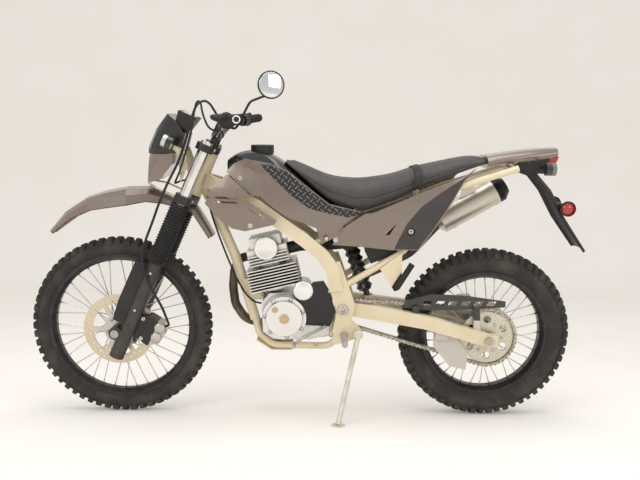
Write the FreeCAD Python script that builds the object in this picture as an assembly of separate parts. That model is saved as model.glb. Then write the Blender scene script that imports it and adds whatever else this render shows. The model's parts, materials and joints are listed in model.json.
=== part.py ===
import FreeCAD
import Part
import math
import os
from FreeCAD import Vector

# Driving dimensions, in millimetres and degrees. The motorcycle is drawn upright, front towards -X,
# left side towards -Y, with the ground at zero, and is leaned onto its side stand at the end.
WHEELBASE = 1365.0
TANK_HEIGHT = 1000.0
LEAN = 10.0
RAKE = 24.0
AXLE_OFFSET = 50.0
LEG_AHEAD = 16.0
LEG_SIDE = 95.0
STEER_LOCK = 45.0
FRONT_TYRE_RADIUS = 339.0
FRONT_TYRE_WIDTH = 76.0
FRONT_RIM_RADIUS = 267.0
REAR_TYRE_RADIUS = 322.0
REAR_TYRE_WIDTH = 106.0
REAR_RIM_RADIUS = 229.0
SWINGARM_WIDTH = 26.0
CHAIN_SIDE = 72.0
CHAIN_PITCH = 15.875
FRONT_TEETH = 15
REAR_TEETH = 42
FIT = 0.3
RIM_WALL = 4.0
RIM_DEPTH = 16.0
RIM_FLANGE = 9.0
MOVING_GAP = 5.0
CUT_OVERRUN = 2.0
TYRE_SHOULDER_RADIUS_SHARE = 0.82

# Directions along the steering axis, ahead of it and across the motorcycle.
STEER_UP = Vector(math.sin(math.radians(RAKE)), 0, math.cos(math.radians(RAKE)))
STEER_AHEAD = Vector(-math.cos(math.radians(RAKE)), 0, math.sin(math.radians(RAKE)))
ACROSS = Vector(0, 1, 0)
UPWARD = Vector(0, 0, 1)


def lean_sink(outer, inner, width):
    """How far a tyre's round crown comes below the line it stands on when upright, once leaned."""
    half = width / 2
    drop = (outer - inner) * (1 - TYRE_SHOULDER_RADIUS_SHARE)
    crown_radius = (half * half + drop * drop) / (2 * drop)
    return crown_radius * (1 - math.cos(math.radians(LEAN)))


FRONT_SINK = lean_sink(FRONT_TYRE_RADIUS, FRONT_RIM_RADIUS, FRONT_TYRE_WIDTH)
REAR_SINK = lean_sink(REAR_TYRE_RADIUS, REAR_RIM_RADIUS, REAR_TYRE_WIDTH)
AXLE_LIFT = (FRONT_SINK - REAR_SINK) / math.cos(math.radians(LEAN))
FRONT_AXLE = Vector(-WHEELBASE / 2, 0, FRONT_TYRE_RADIUS + AXLE_LIFT)
REAR_AXLE = Vector(WHEELBASE / 2, 0, REAR_TYRE_RADIUS)
STEER_FOOT = FRONT_AXLE - STEER_AHEAD * AXLE_OFFSET


def spot(along_share, up_share, side=0.0):
    """A place given as shares of the wheelbase from its middle and of the tank's height."""
    return Vector(WHEELBASE * along_share, side, TANK_HEIGHT * up_share)


def steer(up, ahead=0.0, side=0.0):
    """A place measured up the steering axis and ahead of it."""
    return STEER_FOOT + STEER_UP * up + STEER_AHEAD * ahead + ACROSS * side


def mirrored(shape):
    return shape.mirror(Vector(0, 0, 0), ACROSS)


def both(shape):
    return Part.makeCompound([shape, mirrored(shape)])


def join(first, *others):
    return first.fuse(list(others)).removeSplitter()


def rod(start, end, radius):
    return Part.makeCylinder(radius, (end - start).Length, start, end - start)


def pipe(start, end, outer, inner):
    return rod(start, end, outer).cut(rod(start, end, inner))


def many_sided(centre, run, radius, sides):
    """A regular outline square to the run."""
    across = run.cross(ACROSS if abs(run.y) < run.Length / 2 else UPWARD).normalize() * radius
    other = run.cross(across).normalize() * radius
    turns = [2 * math.pi * index / sides for index in range(sides)]
    corners = [centre + across * math.cos(turn) + other * math.sin(turn) for turn in turns]
    return Part.makePolygon(corners + corners[:1])


def prism(start, end, radius, sides):
    return Part.Face(many_sided(start, end - start, radius, sides)).extrude(end - start)


def bellows(start, end, outer, inner, rings, sides):
    """A ribbed stack from start to end: its outline zigzags between the two radii."""
    run = (end - start) / rings
    wires = [many_sided(start, run, inner, sides)]
    for index in range(rings):
        wires.append(many_sided(start + run * (index + 0.5), run, outer, sides))
        wires.append(many_sided(start + run * (index + 1), run, inner, sides))
    return Part.makeLoft(wires, True, True)


def round_path(points, bend):
    """Straight runs joined by tangent arcs, no larger than the shorter run beside each corner allows."""
    edges = []
    last = points[0]
    for before, corner, after in zip(points, points[1:], points[2:]):
        run_in = corner - before
        run_out = after - corner
        half_turn = run_in.getAngle(run_out) / 2
        reach = min(bend * math.tan(half_turn), 0.45 * min(run_in.Length, run_out.Length))
        radius = reach / math.tan(half_turn)
        start = corner - run_in.normalize() * reach
        end = corner + run_out.normalize() * reach
        inward = (run_out - run_in).normalize()
        middle = corner + inward * (radius / math.cos(half_turn) - radius)
        edges.append(Part.LineSegment(last, start).toShape())
        edges.append(Part.Arc(start, middle, end).toShape())
        last = end
    edges.append(Part.LineSegment(last, points[-1]).toShape())
    return Part.Wire(edges)


def cord(points, radius):
    """A hose or cable: every arc as large as the two runs beside it allow."""
    return bent_tube(points, radius, WHEELBASE)


def bent_tube(points, radius, bend):
    """A round tube along straight runs and tangent arcs."""
    path = round_path(points, bend)
    section = Part.Wire(Part.makeCircle(radius, points[0], points[1] - points[0]))
    return path.makePipeShell([section], True, False)


def flat_outline(points, side):
    corners = [Vector(point.x, side, point.z) for point in points]
    return Part.makePolygon(corners + corners[:1])


def slab(points, side_low, side_high):
    """A flat plate with its outline in the side view."""
    return Part.Face(flat_outline(points, side_low)).extrude(ACROSS * (side_high - side_low))


def beam(centres, heights, width):
    """A box-section beam through the given centres, with its height across the run in the side view."""
    wires = []
    for index, centre in enumerate(centres):
        before = centres[max(index - 1, 0)]
        after = centres[min(index + 1, len(centres) - 1)]
        run = after - before
        across_run = Vector(-run.z, 0, run.x).normalize() * (heights[index] / 2)
        half = ACROSS * (width / 2)
        corners = [centre + across_run + half, centre + across_run - half,
                   centre - across_run - half, centre - across_run + half]
        wires.append(Part.makePolygon(corners + corners[:1]))
    return Part.makeLoft(wires, True, True)


def turned(profile, centre):
    """A solid of revolution about the line across the motorcycle through centre: pairs of radius and side."""
    corners = [centre + Vector(radius, side, 0) for radius, side in profile]
    face = Part.Face(Part.makePolygon(corners + corners[:1]))
    return face.revolve(centre, ACROSS, 360)


def plane_section(along, half_width, low, high, shares):
    """A closed cross-section at one place along the motorcycle, from shares of its width and height."""
    corners = [Vector(along, half_width * side, low + (high - low) * up) for side, up in shares]
    return Part.makePolygon(corners + corners[:1])


def smooth_section(along, half_width, low, high, shares):
    """The same cross-section as one smooth closed curve."""
    points = [Vector(along, half_width * side, low + (high - low) * up) for side, up in shares]
    curve = Part.BSplineCurve()
    curve.interpolate(Points=points, PeriodicFlag=True)
    return Part.Wire(curve.toShape())


# Front and rear tyres out to the tips of their lugs: a carcass ring and tapered lugs in alternate rows.
TYRE_BEAD_SHARE = 0.55
TYRE_WAIST_RADIUS_SHARE = 0.42
TYRE_FLOOR_SHARE = 0.74
LUG_HEIGHT = 9.0
LUG_ROWS = 28
LUG_SHARES = [[(-0.44, 0.30), (0.44, 0.30)], [(0.0, 0.32), (-0.84, 0.22), (0.84, 0.22)]]
LUG_LENGTH_SHARE = 0.54
LUG_TAPER_SHARE = 0.86


def crown_radius(outer, inner, width):
    half = width / 2
    drop = (outer - inner) * (1 - TYRE_SHOULDER_RADIUS_SHARE)
    return (half * half + drop * drop) / (2 * drop)


def carcass(centre, outer, inner, width):
    """The ring under the lugs, with as many flat stretches round it as it has rows of lugs."""
    half = width / 2 - LUG_HEIGHT / 2
    floor_radius = crown_radius(outer, inner, width) - LUG_HEIGHT
    arc_centre = outer - LUG_HEIGHT - floor_radius
    near = half * TYRE_FLOOR_SHARE
    bead = width / 2 * TYRE_BEAD_SHARE
    flat = math.cos(math.pi / LUG_ROWS)
    seat = (inner + FIT) / flat
    lip = (inner + RIM_FLANGE + 2 * FIT) / flat
    waist = inner + (outer - inner) * TYRE_WAIST_RADIUS_SHARE
    shoulder = arc_centre + math.sqrt(floor_radius ** 2 - half ** 2)
    crown = arc_centre + math.sqrt(floor_radius ** 2 - near ** 2)
    left = [(seat, -bead), (lip, -bead), (waist, -half), (shoulder, -half), (crown, -near)]
    section = left + [(radius, -side) for radius, side in reversed(left)]
    rings = []
    for index in range(LUG_ROWS):
        angle = 2 * math.pi * (index + 0.5) / LUG_ROWS
        rings.append([centre + Vector(radius * math.sin(angle), side, radius * math.cos(angle))
                      for radius, side in section])
    faces = []
    for ring, following in zip(rings, rings[1:] + rings[:1]):
        for start, end in zip(range(len(section)), list(range(1, len(section))) + [0]):
            corners = [ring[start], ring[end], following[end], following[start]]
            faces.append(Part.Face(Part.makePolygon(corners + corners[:1])))
    solid = Part.Solid(Part.makeShell(faces))
    if solid.Volume < 0:
        solid.reverse()
    return solid


def lug(centre, outer, crown, width, side_share, width_share):
    """One lug at the top of the tyre, square to the crown's arc and tapered towards its tip."""
    turn = math.asin(min(width / 2 * side_share / crown, 1))
    outward = Vector(0, math.sin(turn), math.cos(turn))
    sideways = Vector(0, math.cos(turn), -math.sin(turn))
    half = width * width_share / 2
    length = math.pi * outer / LUG_ROWS * LUG_LENGTH_SHARE
    tip = math.sqrt(crown ** 2 - half ** 2)
    arc_centre = centre + UPWARD * (outer - crown)
    wires = []
    for reach, taper in ((tip - LUG_HEIGHT * 2, 2 - LUG_TAPER_SHARE), (tip, LUG_TAPER_SHARE)):
        middle = arc_centre + outward * reach
        across = sideways * half * taper
        along = Vector(length * taper, 0, 0)
        corners = [middle - across - along, middle + across - along, middle + across + along, middle - across + along]
        wires.append(Part.makePolygon(corners + corners[:1]))
    return Part.makeLoft(wires, True, True)


def tyre(centre, outer, inner, width):
    crown = crown_radius(outer, inner, width)
    lugs = []
    for row, places in enumerate(LUG_SHARES):
        for side_share, width_share in places:
            first = lug(centre, outer, crown, width, side_share, width_share)
            for index in range(row, LUG_ROWS, len(LUG_SHARES)):
                copy = first.copy()
                copy.rotate(centre, ACROSS, 360.0 * index / LUG_ROWS)
                lugs.append(copy)
    return carcass(centre, outer, inner, width).fuse(lugs)


# Rims: a shallow channel with a drop centre, its flanges outside the tyre's beads.
def rim(centre, seat, bead_width):
    half = bead_width / 2 + FIT
    profile = [(seat, half), (seat + RIM_FLANGE, half), (seat + RIM_FLANGE, half + RIM_WALL),
               (seat - RIM_WALL, half + RIM_WALL), (seat - RIM_DEPTH, half / 2), (seat - RIM_DEPTH, -half / 2),
               (seat - RIM_WALL, -half - RIM_WALL), (seat + RIM_FLANGE, -half - RIM_WALL),
               (seat + RIM_FLANGE, -half), (seat, -half), (seat - RIM_DEPTH + RIM_WALL, -half / 2),
               (seat - RIM_DEPTH + RIM_WALL, half / 2)]
    return turned(profile, centre)


# Hubs with their laced spokes: each spoke leaves a flange along a tangent and ends at its nipple.
HUB_RADIUS = 22.0
HUB_FLANGE_RADIUS = 40.0
HUB_FLANGE_WIDTH = 6.0
SPOKE_RADIUS = 1.8
SPOKE_COUNT = 36
SPOKE_SIDES = 8
SPOKE_LEAN = 62.0
AXLE_RADIUS = 8.0
AXLE_GAP = 0.08


def hub(centre, flange_side, rim_seat, half_length):
    body = rod(centre - ACROSS * half_length, centre + ACROSS * half_length, HUB_RADIUS)
    parts = []
    for side in (-flange_side, flange_side):
        low = centre + ACROSS * (side - HUB_FLANGE_WIDTH / 2)
        parts.append(rod(low, low + ACROSS * HUB_FLANGE_WIDTH, HUB_FLANGE_RADIUS))
    reach = rim_seat - RIM_DEPTH - FIT * 2
    for index in range(SPOKE_COUNT):
        side = flange_side if index % 2 else -flange_side
        lean = SPOKE_LEAN if index % 4 < 2 else -SPOKE_LEAN
        angle = math.radians(360.0 * index / SPOKE_COUNT)
        root_angle = angle - math.radians(lean)
        tip = centre + Vector(reach * math.cos(angle), 0, reach * math.sin(angle))
        root_reach = HUB_FLANGE_RADIUS - HUB_FLANGE_WIDTH
        root = centre + Vector(root_reach * math.cos(root_angle), side, root_reach * math.sin(root_angle))
        parts.append(prism(root, tip, SPOKE_RADIUS, SPOKE_SIDES))
    shell = join(body, *parts)
    bore = rod(centre - ACROSS * (half_length + CUT_OVERRUN), centre + ACROSS * (half_length + CUT_OVERRUN),
               AXLE_RADIUS + AXLE_GAP)
    return shell.cut(bore)


# Brake discs, thin rings on a smaller carrier.
DISC_THICKNESS = 4.0
FRONT_DISC_RADIUS = 132.0
REAR_DISC_RADIUS = 110.0
DISC_BAND = 34.0
DISC_ARMS = 6
DISC_HOLES = 36
DISC_HOLE_SIDES = 10
DISC_HOLE_RADIUS = 3.5
DISC_HOLE_REACH_SHARES = [0.30, 0.52, 0.74, 0.52]
FRONT_DISC_SIDE = -60.0
REAR_DISC_SIDE = 74.0


def disc(centre, radius, side):
    middle = centre + ACROSS * side
    half = ACROSS * (DISC_THICKNESS / 2)
    band = pipe(middle - half, middle + half, radius, radius - DISC_BAND)
    carrier = pipe(middle - half, middle + half, HUB_FLANGE_RADIUS + DISC_BAND / 2, HUB_RADIUS + FIT)
    arms = []
    for index in range(DISC_ARMS):
        angle = 2 * math.pi * index / DISC_ARMS
        outward = Vector(math.cos(angle), 0, math.sin(angle))
        sideways = Vector(-outward.z, 0, outward.x) * (DISC_BAND / 4)
        near = middle + outward * HUB_FLANGE_RADIUS
        far = middle + outward * (radius - DISC_BAND + DISC_THICKNESS)
        corners = [near - sideways, far - sideways, far + sideways, near + sideways]
        arms.append(slab(corners, middle.y - half.y, middle.y + half.y))
    holes = []
    for index in range(DISC_HOLES):
        reach = radius - DISC_BAND * DISC_HOLE_REACH_SHARES[index % len(DISC_HOLE_REACH_SHARES)]
        hole = on_circle(centre, reach, 2 * math.pi * index / DISC_HOLES, middle.y)
        holes.append(prism(hole - half * CUT_OVERRUN, hole + half * CUT_OVERRUN, DISC_HOLE_RADIUS, DISC_HOLE_SIDES))
    return join(band, carrier, *arms).cut(holes)


# Chain loop: two straight runs between the sprockets' pitch circles.
PLATE_HEIGHT = 14.0
CHAIN_WIDTH = 17.0
FRONT_PITCH_RADIUS = CHAIN_PITCH / (2 * math.sin(math.pi / FRONT_TEETH))
REAR_PITCH_RADIUS = CHAIN_PITCH / (2 * math.sin(math.pi / REAR_TEETH))
DRIVE_CENTRE = spot(0.062, 0.432)
CHAIN_GAP = 1.5
LINK_SHARES = [1.0, 0.45]


def chain_angles():
    """The direction from the front sprocket to the rear one, and how far the runs splay from it."""
    line = REAR_AXLE - DRIVE_CENTRE
    heading = math.atan2(line.z, line.x)
    splay = math.asin((REAR_PITCH_RADIUS - FRONT_PITCH_RADIUS) / line.Length)
    return heading, splay


def on_circle(centre, radius, angle, side):
    return Vector(centre.x + radius * math.cos(angle), side, centre.z + radius * math.sin(angle))


def loop_face(offset, side):
    """The chain's loop, grown or shrunk by offset, as a flat face."""
    heading, splay = chain_angles()
    up = heading + math.pi / 2 + splay
    down = heading - math.pi / 2 - splay
    front = FRONT_PITCH_RADIUS + offset
    rear = REAR_PITCH_RADIUS + offset
    front_up = on_circle(DRIVE_CENTRE, front, up, side)
    front_down = on_circle(DRIVE_CENTRE, front, down, side)
    front_mid = on_circle(DRIVE_CENTRE, front, heading + math.pi, side)
    rear_up = on_circle(REAR_AXLE, rear, up, side)
    rear_down = on_circle(REAR_AXLE, rear, down, side)
    rear_mid = on_circle(REAR_AXLE, rear, heading, side)
    edges = [Part.LineSegment(front_up, rear_up).toShape(), Part.Arc(rear_up, rear_mid, rear_down).toShape(),
             Part.LineSegment(rear_down, front_down).toShape(),
             Part.Arc(front_down, front_mid, front_up).toShape()]
    return Part.Face(Part.Wire(edges))


def chain_path(offset, side, step_shares):
    """Points along the loop, offset outwards by each of the given shares in turn at every part of a pitch."""
    heading, splay = chain_angles()
    up = heading + math.pi / 2 + splay
    down = heading - math.pi / 2 - splay
    run = (REAR_AXLE - DRIVE_CENTRE).Length * math.cos(splay)
    front_turn = math.pi - 2 * splay
    rear_turn = math.pi + 2 * splay
    front_length = FRONT_PITCH_RADIUS * front_turn
    rear_length = REAR_PITCH_RADIUS * rear_turn
    whole = 2 * run + front_length + rear_length
    count = int(whole / CHAIN_PITCH) * len(step_shares)
    points = []
    for index in range(count):
        reach = offset * step_shares[index % len(step_shares)]
        far = whole * index / count
        if far < run:
            foot = on_circle(DRIVE_CENTRE, FRONT_PITCH_RADIUS + reach, up, side)
            points.append(foot + Vector(math.sin(up), 0, -math.cos(up)) * far)
        elif far < run + rear_length:
            points.append(on_circle(REAR_AXLE, REAR_PITCH_RADIUS + reach, up - (far - run) / REAR_PITCH_RADIUS, side))
        elif far < 2 * run + rear_length:
            foot = on_circle(REAR_AXLE, REAR_PITCH_RADIUS + reach, down, side)
            points.append(foot + Vector(math.sin(down), 0, -math.cos(down)) * (far - run - rear_length))
        else:
            turned_by = (far - 2 * run - rear_length) / FRONT_PITCH_RADIUS
            points.append(on_circle(DRIVE_CENTRE, FRONT_PITCH_RADIUS + reach, down - turned_by, side))
    return points


def drive_chain():
    """The loop with each link's plate waisted between its pins, outside, and the rollers' line inside."""
    side = -CHAIN_SIDE - CHAIN_WIDTH / 2
    outer = flat_outline(chain_path(PLATE_HEIGHT / 2, side, LINK_SHARES), side)
    inner = loop_face(-PLATE_HEIGHT / 2, side - CUT_OVERRUN).extrude(ACROSS * (CHAIN_WIDTH + 2 * CUT_OVERRUN))
    return Part.Face(outer).extrude(ACROSS * CHAIN_WIDTH).cut(inner)


SPROCKET_THICKNESS = 6.0


def rear_sprocket():
    middle = REAR_AXLE - ACROSS * CHAIN_SIDE
    half = ACROSS * (SPROCKET_THICKNESS / 2)
    tip = REAR_PITCH_RADIUS - PLATE_HEIGHT / 2 - CHAIN_GAP
    plate = pipe(middle - half, middle + half, tip, HUB_RADIUS + FIT)
    holes = []
    for index in range(DISC_ARMS):
        hole_middle = on_circle(middle, (tip + HUB_FLANGE_RADIUS) / 2, 2 * math.pi * (index + 0.5) / DISC_ARMS,
                                middle.y)
        holes.append(rod(hole_middle - ACROSS * SPROCKET_THICKNESS, hole_middle + ACROSS * SPROCKET_THICKNESS,
                         (tip - HUB_FLANGE_RADIUS) / 4))
    return plate.cut(holes)


# Axles, with a head on one side and a nut on the other.
FRONT_AXLE_HALF = 124.0
REAR_AXLE_HALF = 126.0
NUT_RADIUS = 15.0
NUT_LENGTH = 9.0


def axle(centre, half_length, seat_side):
    shaft = rod(centre - ACROSS * half_length, centre + ACROSS * half_length, AXLE_RADIUS)
    nuts = [rod(centre + ACROSS * side, centre + ACROSS * (side + NUT_LENGTH), NUT_RADIUS)
            for side in (-seat_side - NUT_LENGTH, seat_side)]
    return join(shaft, *nuts)


# Telescopic fork: clamps, tubes, gaiters and sliders, placed by height up the steering axis.
SLIDER_LOW = -88.0
SLIDER_TOP = 300.0
SLIDER_RADIUS = 27.0
GAITER_TOP = 532.0
GAITER_RADIUS = 35.0
GAITER_RIBS = 22
GAITER_SIDES = 24
GAITER_RIB_DEPTH = 5.0
TUBE_RADIUS = 20.5
TUBE_TOP = 776.0
LOWER_CLAMP_LOW = 537.0
LOWER_CLAMP_TOP = 567.0
HEAD_LOW = 570.0
HEAD_TOP = 738.0
UPPER_CLAMP_LOW = 741.0
UPPER_CLAMP_TOP = 766.0
HEAD_RADIUS = 28.0
STEM_RADIUS = 15.0
STEM_GAP = 0.3
CLAMP_COLLAR = 32.0
CLAMP_WEB = 17.0
AXLE_BOSS_RADIUS = 24.0
AXLE_BOSS_HALF = 24.0


def fork_pair(make):
    return both(make(-LEG_SIDE))


def one_slider(side):
    leg = rod(steer(SLIDER_LOW, LEG_AHEAD, side), steer(SLIDER_TOP, LEG_AHEAD, side), SLIDER_RADIUS)
    boss_low = FRONT_AXLE + ACROSS * (side - AXLE_BOSS_HALF)
    boss_high = FRONT_AXLE + ACROSS * (side + AXLE_BOSS_HALF)
    boss = rod(boss_low, boss_high, AXLE_BOSS_RADIUS)
    lug = join(leg, boss)
    return lug.cut(rod(boss_low - ACROSS * AXLE_BOSS_RADIUS * 2, boss_high + ACROSS * AXLE_BOSS_RADIUS * 2,
                       AXLE_RADIUS + AXLE_GAP))


def one_gaiter(side):
    """A ribbed boot round one fork tube."""
    low = steer(SLIDER_TOP + FIT, LEG_AHEAD, side)
    high = steer(GAITER_TOP, LEG_AHEAD, side)
    boot = bellows(low, high, GAITER_RADIUS, GAITER_RADIUS - GAITER_RIB_DEPTH, GAITER_RIBS, GAITER_SIDES)
    return boot.cut(rod(low, high, TUBE_RADIUS + FIT))


def one_tube(side):
    return rod(steer(SLIDER_TOP + FIT, LEG_AHEAD, side), steer(TUBE_TOP, LEG_AHEAD, side), TUBE_RADIUS)


def clamp_plate(low, high):
    """One triple clamp: two collars and a web that reaches back to the stem."""
    pieces = []
    for side in (-LEG_SIDE, LEG_SIDE):
        pieces.append(rod(steer(low, LEG_AHEAD, side), steer(high, LEG_AHEAD, side), CLAMP_COLLAR))
    corners = [steer(low, LEG_AHEAD + CLAMP_WEB, -LEG_SIDE), steer(low, LEG_AHEAD + CLAMP_WEB, LEG_SIDE),
               steer(low, LEG_AHEAD - CLAMP_WEB, LEG_SIDE), steer(low, -HEAD_RADIUS, HEAD_RADIUS / 2),
               steer(low, -HEAD_RADIUS, -HEAD_RADIUS / 2), steer(low, LEG_AHEAD - CLAMP_WEB, -LEG_SIDE)]
    web = Part.Face(Part.makePolygon(corners + corners[:1])).extrude(STEER_UP * (high - low))
    plate = join(web, *pieces)
    return plate.cut([rod(steer(low - CUT_OVERRUN, LEG_AHEAD, side), steer(high + CUT_OVERRUN, LEG_AHEAD, side),
                          TUBE_RADIUS + FIT) for side in (-LEG_SIDE, LEG_SIDE)])


RISER_RADIUS = 13.0
RISER_SIDE = 38.0
BAR_UP = 806.0
BAR_AHEAD = 2.0
BAR_RADIUS = 11.0
BAR_CLAMP_WIDTH = 28.0
BAR_CLAMP_HEIGHT = 34.0


def triple_clamps():
    stem = rod(steer(LOWER_CLAMP_LOW), steer(UPPER_CLAMP_TOP + STEM_RADIUS / 2), STEM_RADIUS)
    risers = []
    for side in (-RISER_SIDE, RISER_SIDE):
        foot = steer(UPPER_CLAMP_LOW, BAR_AHEAD, side)
        risers.append(rod(foot, steer(BAR_UP, BAR_AHEAD, side), RISER_RADIUS))
        risers.append(rod(steer(BAR_UP, BAR_AHEAD, side - BAR_CLAMP_WIDTH / 2),
                          steer(BAR_UP, BAR_AHEAD, side + BAR_CLAMP_WIDTH / 2), BAR_CLAMP_HEIGHT / 2))
    whole = join(clamp_plate(LOWER_CLAMP_LOW, LOWER_CLAMP_TOP), clamp_plate(UPPER_CLAMP_LOW, UPPER_CLAMP_TOP),
                 stem, *risers)
    span = RISER_SIDE + BAR_CLAMP_WIDTH
    return whole.cut(rod(steer(BAR_UP, BAR_AHEAD, -span), steer(BAR_UP, BAR_AHEAD, span), BAR_RADIUS + FIT))


# Handlebar: a bent tube, with a grip near each end and the hand controls inboard of the grips.
BAR_RISE_SIDE = 165.0
BAR_RISE_UP = 858.0
BAR_RISE_AHEAD = -8.0
BAR_END_SIDE = 405.0
BAR_END_UP = 905.0
BAR_END_AHEAD = -76.0
BAR_MIDDLE_SIDE = 92.0
BAR_BEND = 90.0
GRIP_RADIUS = 16.0
GRIP_LENGTH = 120.0
GRIP_FLANGE_RADIUS = 25.0


def bar_end(share):
    """A place on the straight left end of the handlebar, from its rise at 0 to its tip at 1."""
    rise = steer(BAR_RISE_UP, BAR_RISE_AHEAD, -BAR_RISE_SIDE)
    tip = steer(BAR_END_UP, BAR_END_AHEAD, -BAR_END_SIDE)
    return rise + (tip - rise) * share


def handlebar():
    half = [bar_end(1), bar_end(0), steer(BAR_UP, BAR_AHEAD, -BAR_MIDDLE_SIDE)]
    other = [Vector(point.x, -point.y, point.z) for point in reversed(half)]
    return bent_tube(half + other, BAR_RADIUS, BAR_BEND)


def grip_share():
    return GRIP_LENGTH / (bar_end(1) - bar_end(0)).Length


def grips():
    inner = bar_end(1 - grip_share())
    outer = bar_end(1)
    run = (outer - inner).normalize()
    grip = pipe(inner, bar_end(1), GRIP_RADIUS, BAR_RADIUS + FIT)
    flange = pipe(inner, inner + run * (GRIP_RADIUS / 3), GRIP_FLANGE_RADIUS, BAR_RADIUS + FIT)
    cap = rod(bar_end(1) + run * FIT, bar_end(1) + run * (GRIP_RADIUS / 2), GRIP_RADIUS)
    return both(join(grip, flange, cap).cut(rod(inner, bar_end(1) + run * FIT, BAR_RADIUS + FIT)))


SWITCH_RADIUS = 22.0
SWITCH_LENGTH = 42.0
PERCH_LENGTH = 30.0
LEVER_REACH = 46.0
LEVER_RADIUS = 6.0
LEVER_LENGTH = 165.0
LEVER_BALL = 9.0
MIRROR_BOSS_RADIUS = 9.0
MIRROR_BOSS_REACH = 34.0
MIRROR_THREAD_RADIUS = 4.4
MIRROR_THREAD_DEPTH = 16.0


def hand_control(length_share):
    """Switch box, perch and lever of the left side."""
    run = (bar_end(1) - bar_end(0)).normalize()
    box_out = bar_end(1 - grip_share()) - run * FIT
    box_in = box_out - run * SWITCH_LENGTH
    perch_in = box_in - run * PERCH_LENGTH * length_share
    ahead = STEER_AHEAD * LEVER_REACH
    body = pipe(box_in, box_out, SWITCH_RADIUS, BAR_RADIUS + FIT)
    perch = pipe(perch_in, box_in, SWITCH_RADIUS - LEVER_RADIUS, BAR_RADIUS + FIT)
    arm = rod(perch_in + run * PERCH_LENGTH / 2 + ahead * 0.35, perch_in + run * PERCH_LENGTH / 2 + ahead,
              LEVER_RADIUS * 1.6)
    root = perch_in + run * PERCH_LENGTH / 2 + ahead
    tip = root + run * LEVER_LENGTH - ahead * 0.25
    blade = rod(root, tip, LEVER_RADIUS)
    ball = Part.makeSphere(LEVER_BALL, tip)
    return join(body, perch, arm, blade, ball)


def perch_middle():
    run = (bar_end(1) - bar_end(0)).normalize()
    return bar_end(1 - grip_share()) - run * (SWITCH_LENGTH + PERCH_LENGTH / 2)


def mirror_boss_mouth():
    """Where the left perch's empty mirror thread opens, and the way it points."""
    run = (bar_end(1) - bar_end(0)).normalize()
    outward = (STEER_UP - run * STEER_UP.dot(run)).normalize()
    return perch_middle() + outward * MIRROR_BOSS_REACH, outward


def hand_controls():
    mouth, outward = mirror_boss_mouth()
    boss = rod(perch_middle(), mouth, MIRROR_BOSS_RADIUS)
    thread = rod(mouth - outward * MIRROR_THREAD_DEPTH, mouth + outward * CUT_OVERRUN, MIRROR_THREAD_RADIUS)
    left = join(hand_control(1.0), boss).cut([thread, handlebar_bore()])
    return Part.makeCompound([left, mirrored(hand_control(1.0))])


def handlebar_bore():
    return rod(bar_end(0), bar_end(1), BAR_RADIUS + FIT)


# Round mirror on its bent stem, at the right perch.
MIRROR_RADIUS = 56.0
MIRROR_DEPTH = 16.0
MIRROR_FOOT_RISE = 1.65
STEM_ROD_RADIUS = 5.0
MIRROR_UP = 1050.0
MIRROR_AHEAD = -78.0
MIRROR_SIDE = 300.0


def mirror():
    run = (bar_end(1) - bar_end(0)).normalize()
    perch = bar_end(1 - grip_share()) - run * (SWITCH_LENGTH + PERCH_LENGTH / 2)
    foot = Vector(perch.x, -perch.y, perch.z) + STEER_UP * (SWITCH_RADIUS - LEVER_RADIUS + MIRROR_FOOT_RISE)
    centre = steer(MIRROR_UP, MIRROR_AHEAD, MIRROR_SIDE)
    knee = foot + STEER_UP * (MIRROR_RADIUS * 1.2) - STEER_AHEAD * STEM_ROD_RADIUS
    stem = bent_tube([foot, knee, centre - STEER_UP * MIRROR_RADIUS * 0.8 + ACROSS * STEM_ROD_RADIUS,
                      centre + ACROSS * STEM_ROD_RADIUS], STEM_ROD_RADIUS, MIRROR_RADIUS / 2)
    facing = Vector(0.35, -0.93, 0.05).normalize()
    head = Part.makeCone(MIRROR_RADIUS, MIRROR_RADIUS * 0.8, MIRROR_DEPTH, centre - facing * MIRROR_DEPTH * 0.2,
                         -facing)
    rim_ring = rod(centre - facing * MIRROR_DEPTH * 0.2, centre + facing * MIRROR_DEPTH * 0.1, MIRROR_RADIUS)
    return join(stem, head, rim_ring)


# Headlamp under its dark screen, with the painted cowl below, outlined from above the steering axis.
COWL_SIDE = 88.0
LAMP_SIDE = 74.0
LAMP_NOSE_RADIUS = 90.0
LAMP_NOSE_AHEAD = 215.0
COWL_NOSE_RADIUS = 105.0
COWL_NOSE_AHEAD = 203.0
LAMP_BACK_SHARES = [(0.500, 0.000), (0.500, 0.130), (0.860, 0.130), (0.860, 0.000)]


def steer_outline(shares_table, side):
    corners = [steer(TANK_HEIGHT * up, TANK_HEIGHT * ahead, side) for up, ahead in shares_table]
    return Part.Face(Part.makePolygon(corners + corners[:1]))


SCREEN_SHARES = [(0.806, 0.186), (0.740, 0.206), (0.663, 0.206), (0.648, 0.196), (0.672, 0.140), (0.700, 0.090),
                 (0.765, 0.100), (0.795, 0.150)]
COWL_SHARES = [(0.6476, 0.1955), (0.558, 0.154), (0.580, 0.120), (0.650, 0.100), (0.6860, 0.1145),
               (0.6716, 0.1395)]
METER_SHARES = [(0.832, 0.158), (0.832, 0.089), (0.777, 0.103), (0.784, 0.150)]
METER_SIDE = 62.0


def nose_rounding(corner_radius, tip_ahead):
    """The plan shape of the nose: a drum along the steering axis, flattened where the outline ends before it."""
    return rod(steer(0, tip_ahead - corner_radius), steer(TANK_HEIGHT, tip_ahead - corner_radius), corner_radius)


def headlight():
    block = steer_outline(SCREEN_SHARES, -LAMP_SIDE).extrude(ACROSS * 2 * LAMP_SIDE)
    back = steer_outline(LAMP_BACK_SHARES, -LAMP_SIDE).extrude(ACROSS * 2 * LAMP_SIDE)
    return join(block.common(nose_rounding(LAMP_NOSE_RADIUS, LAMP_NOSE_AHEAD)), block.common(back))


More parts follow.
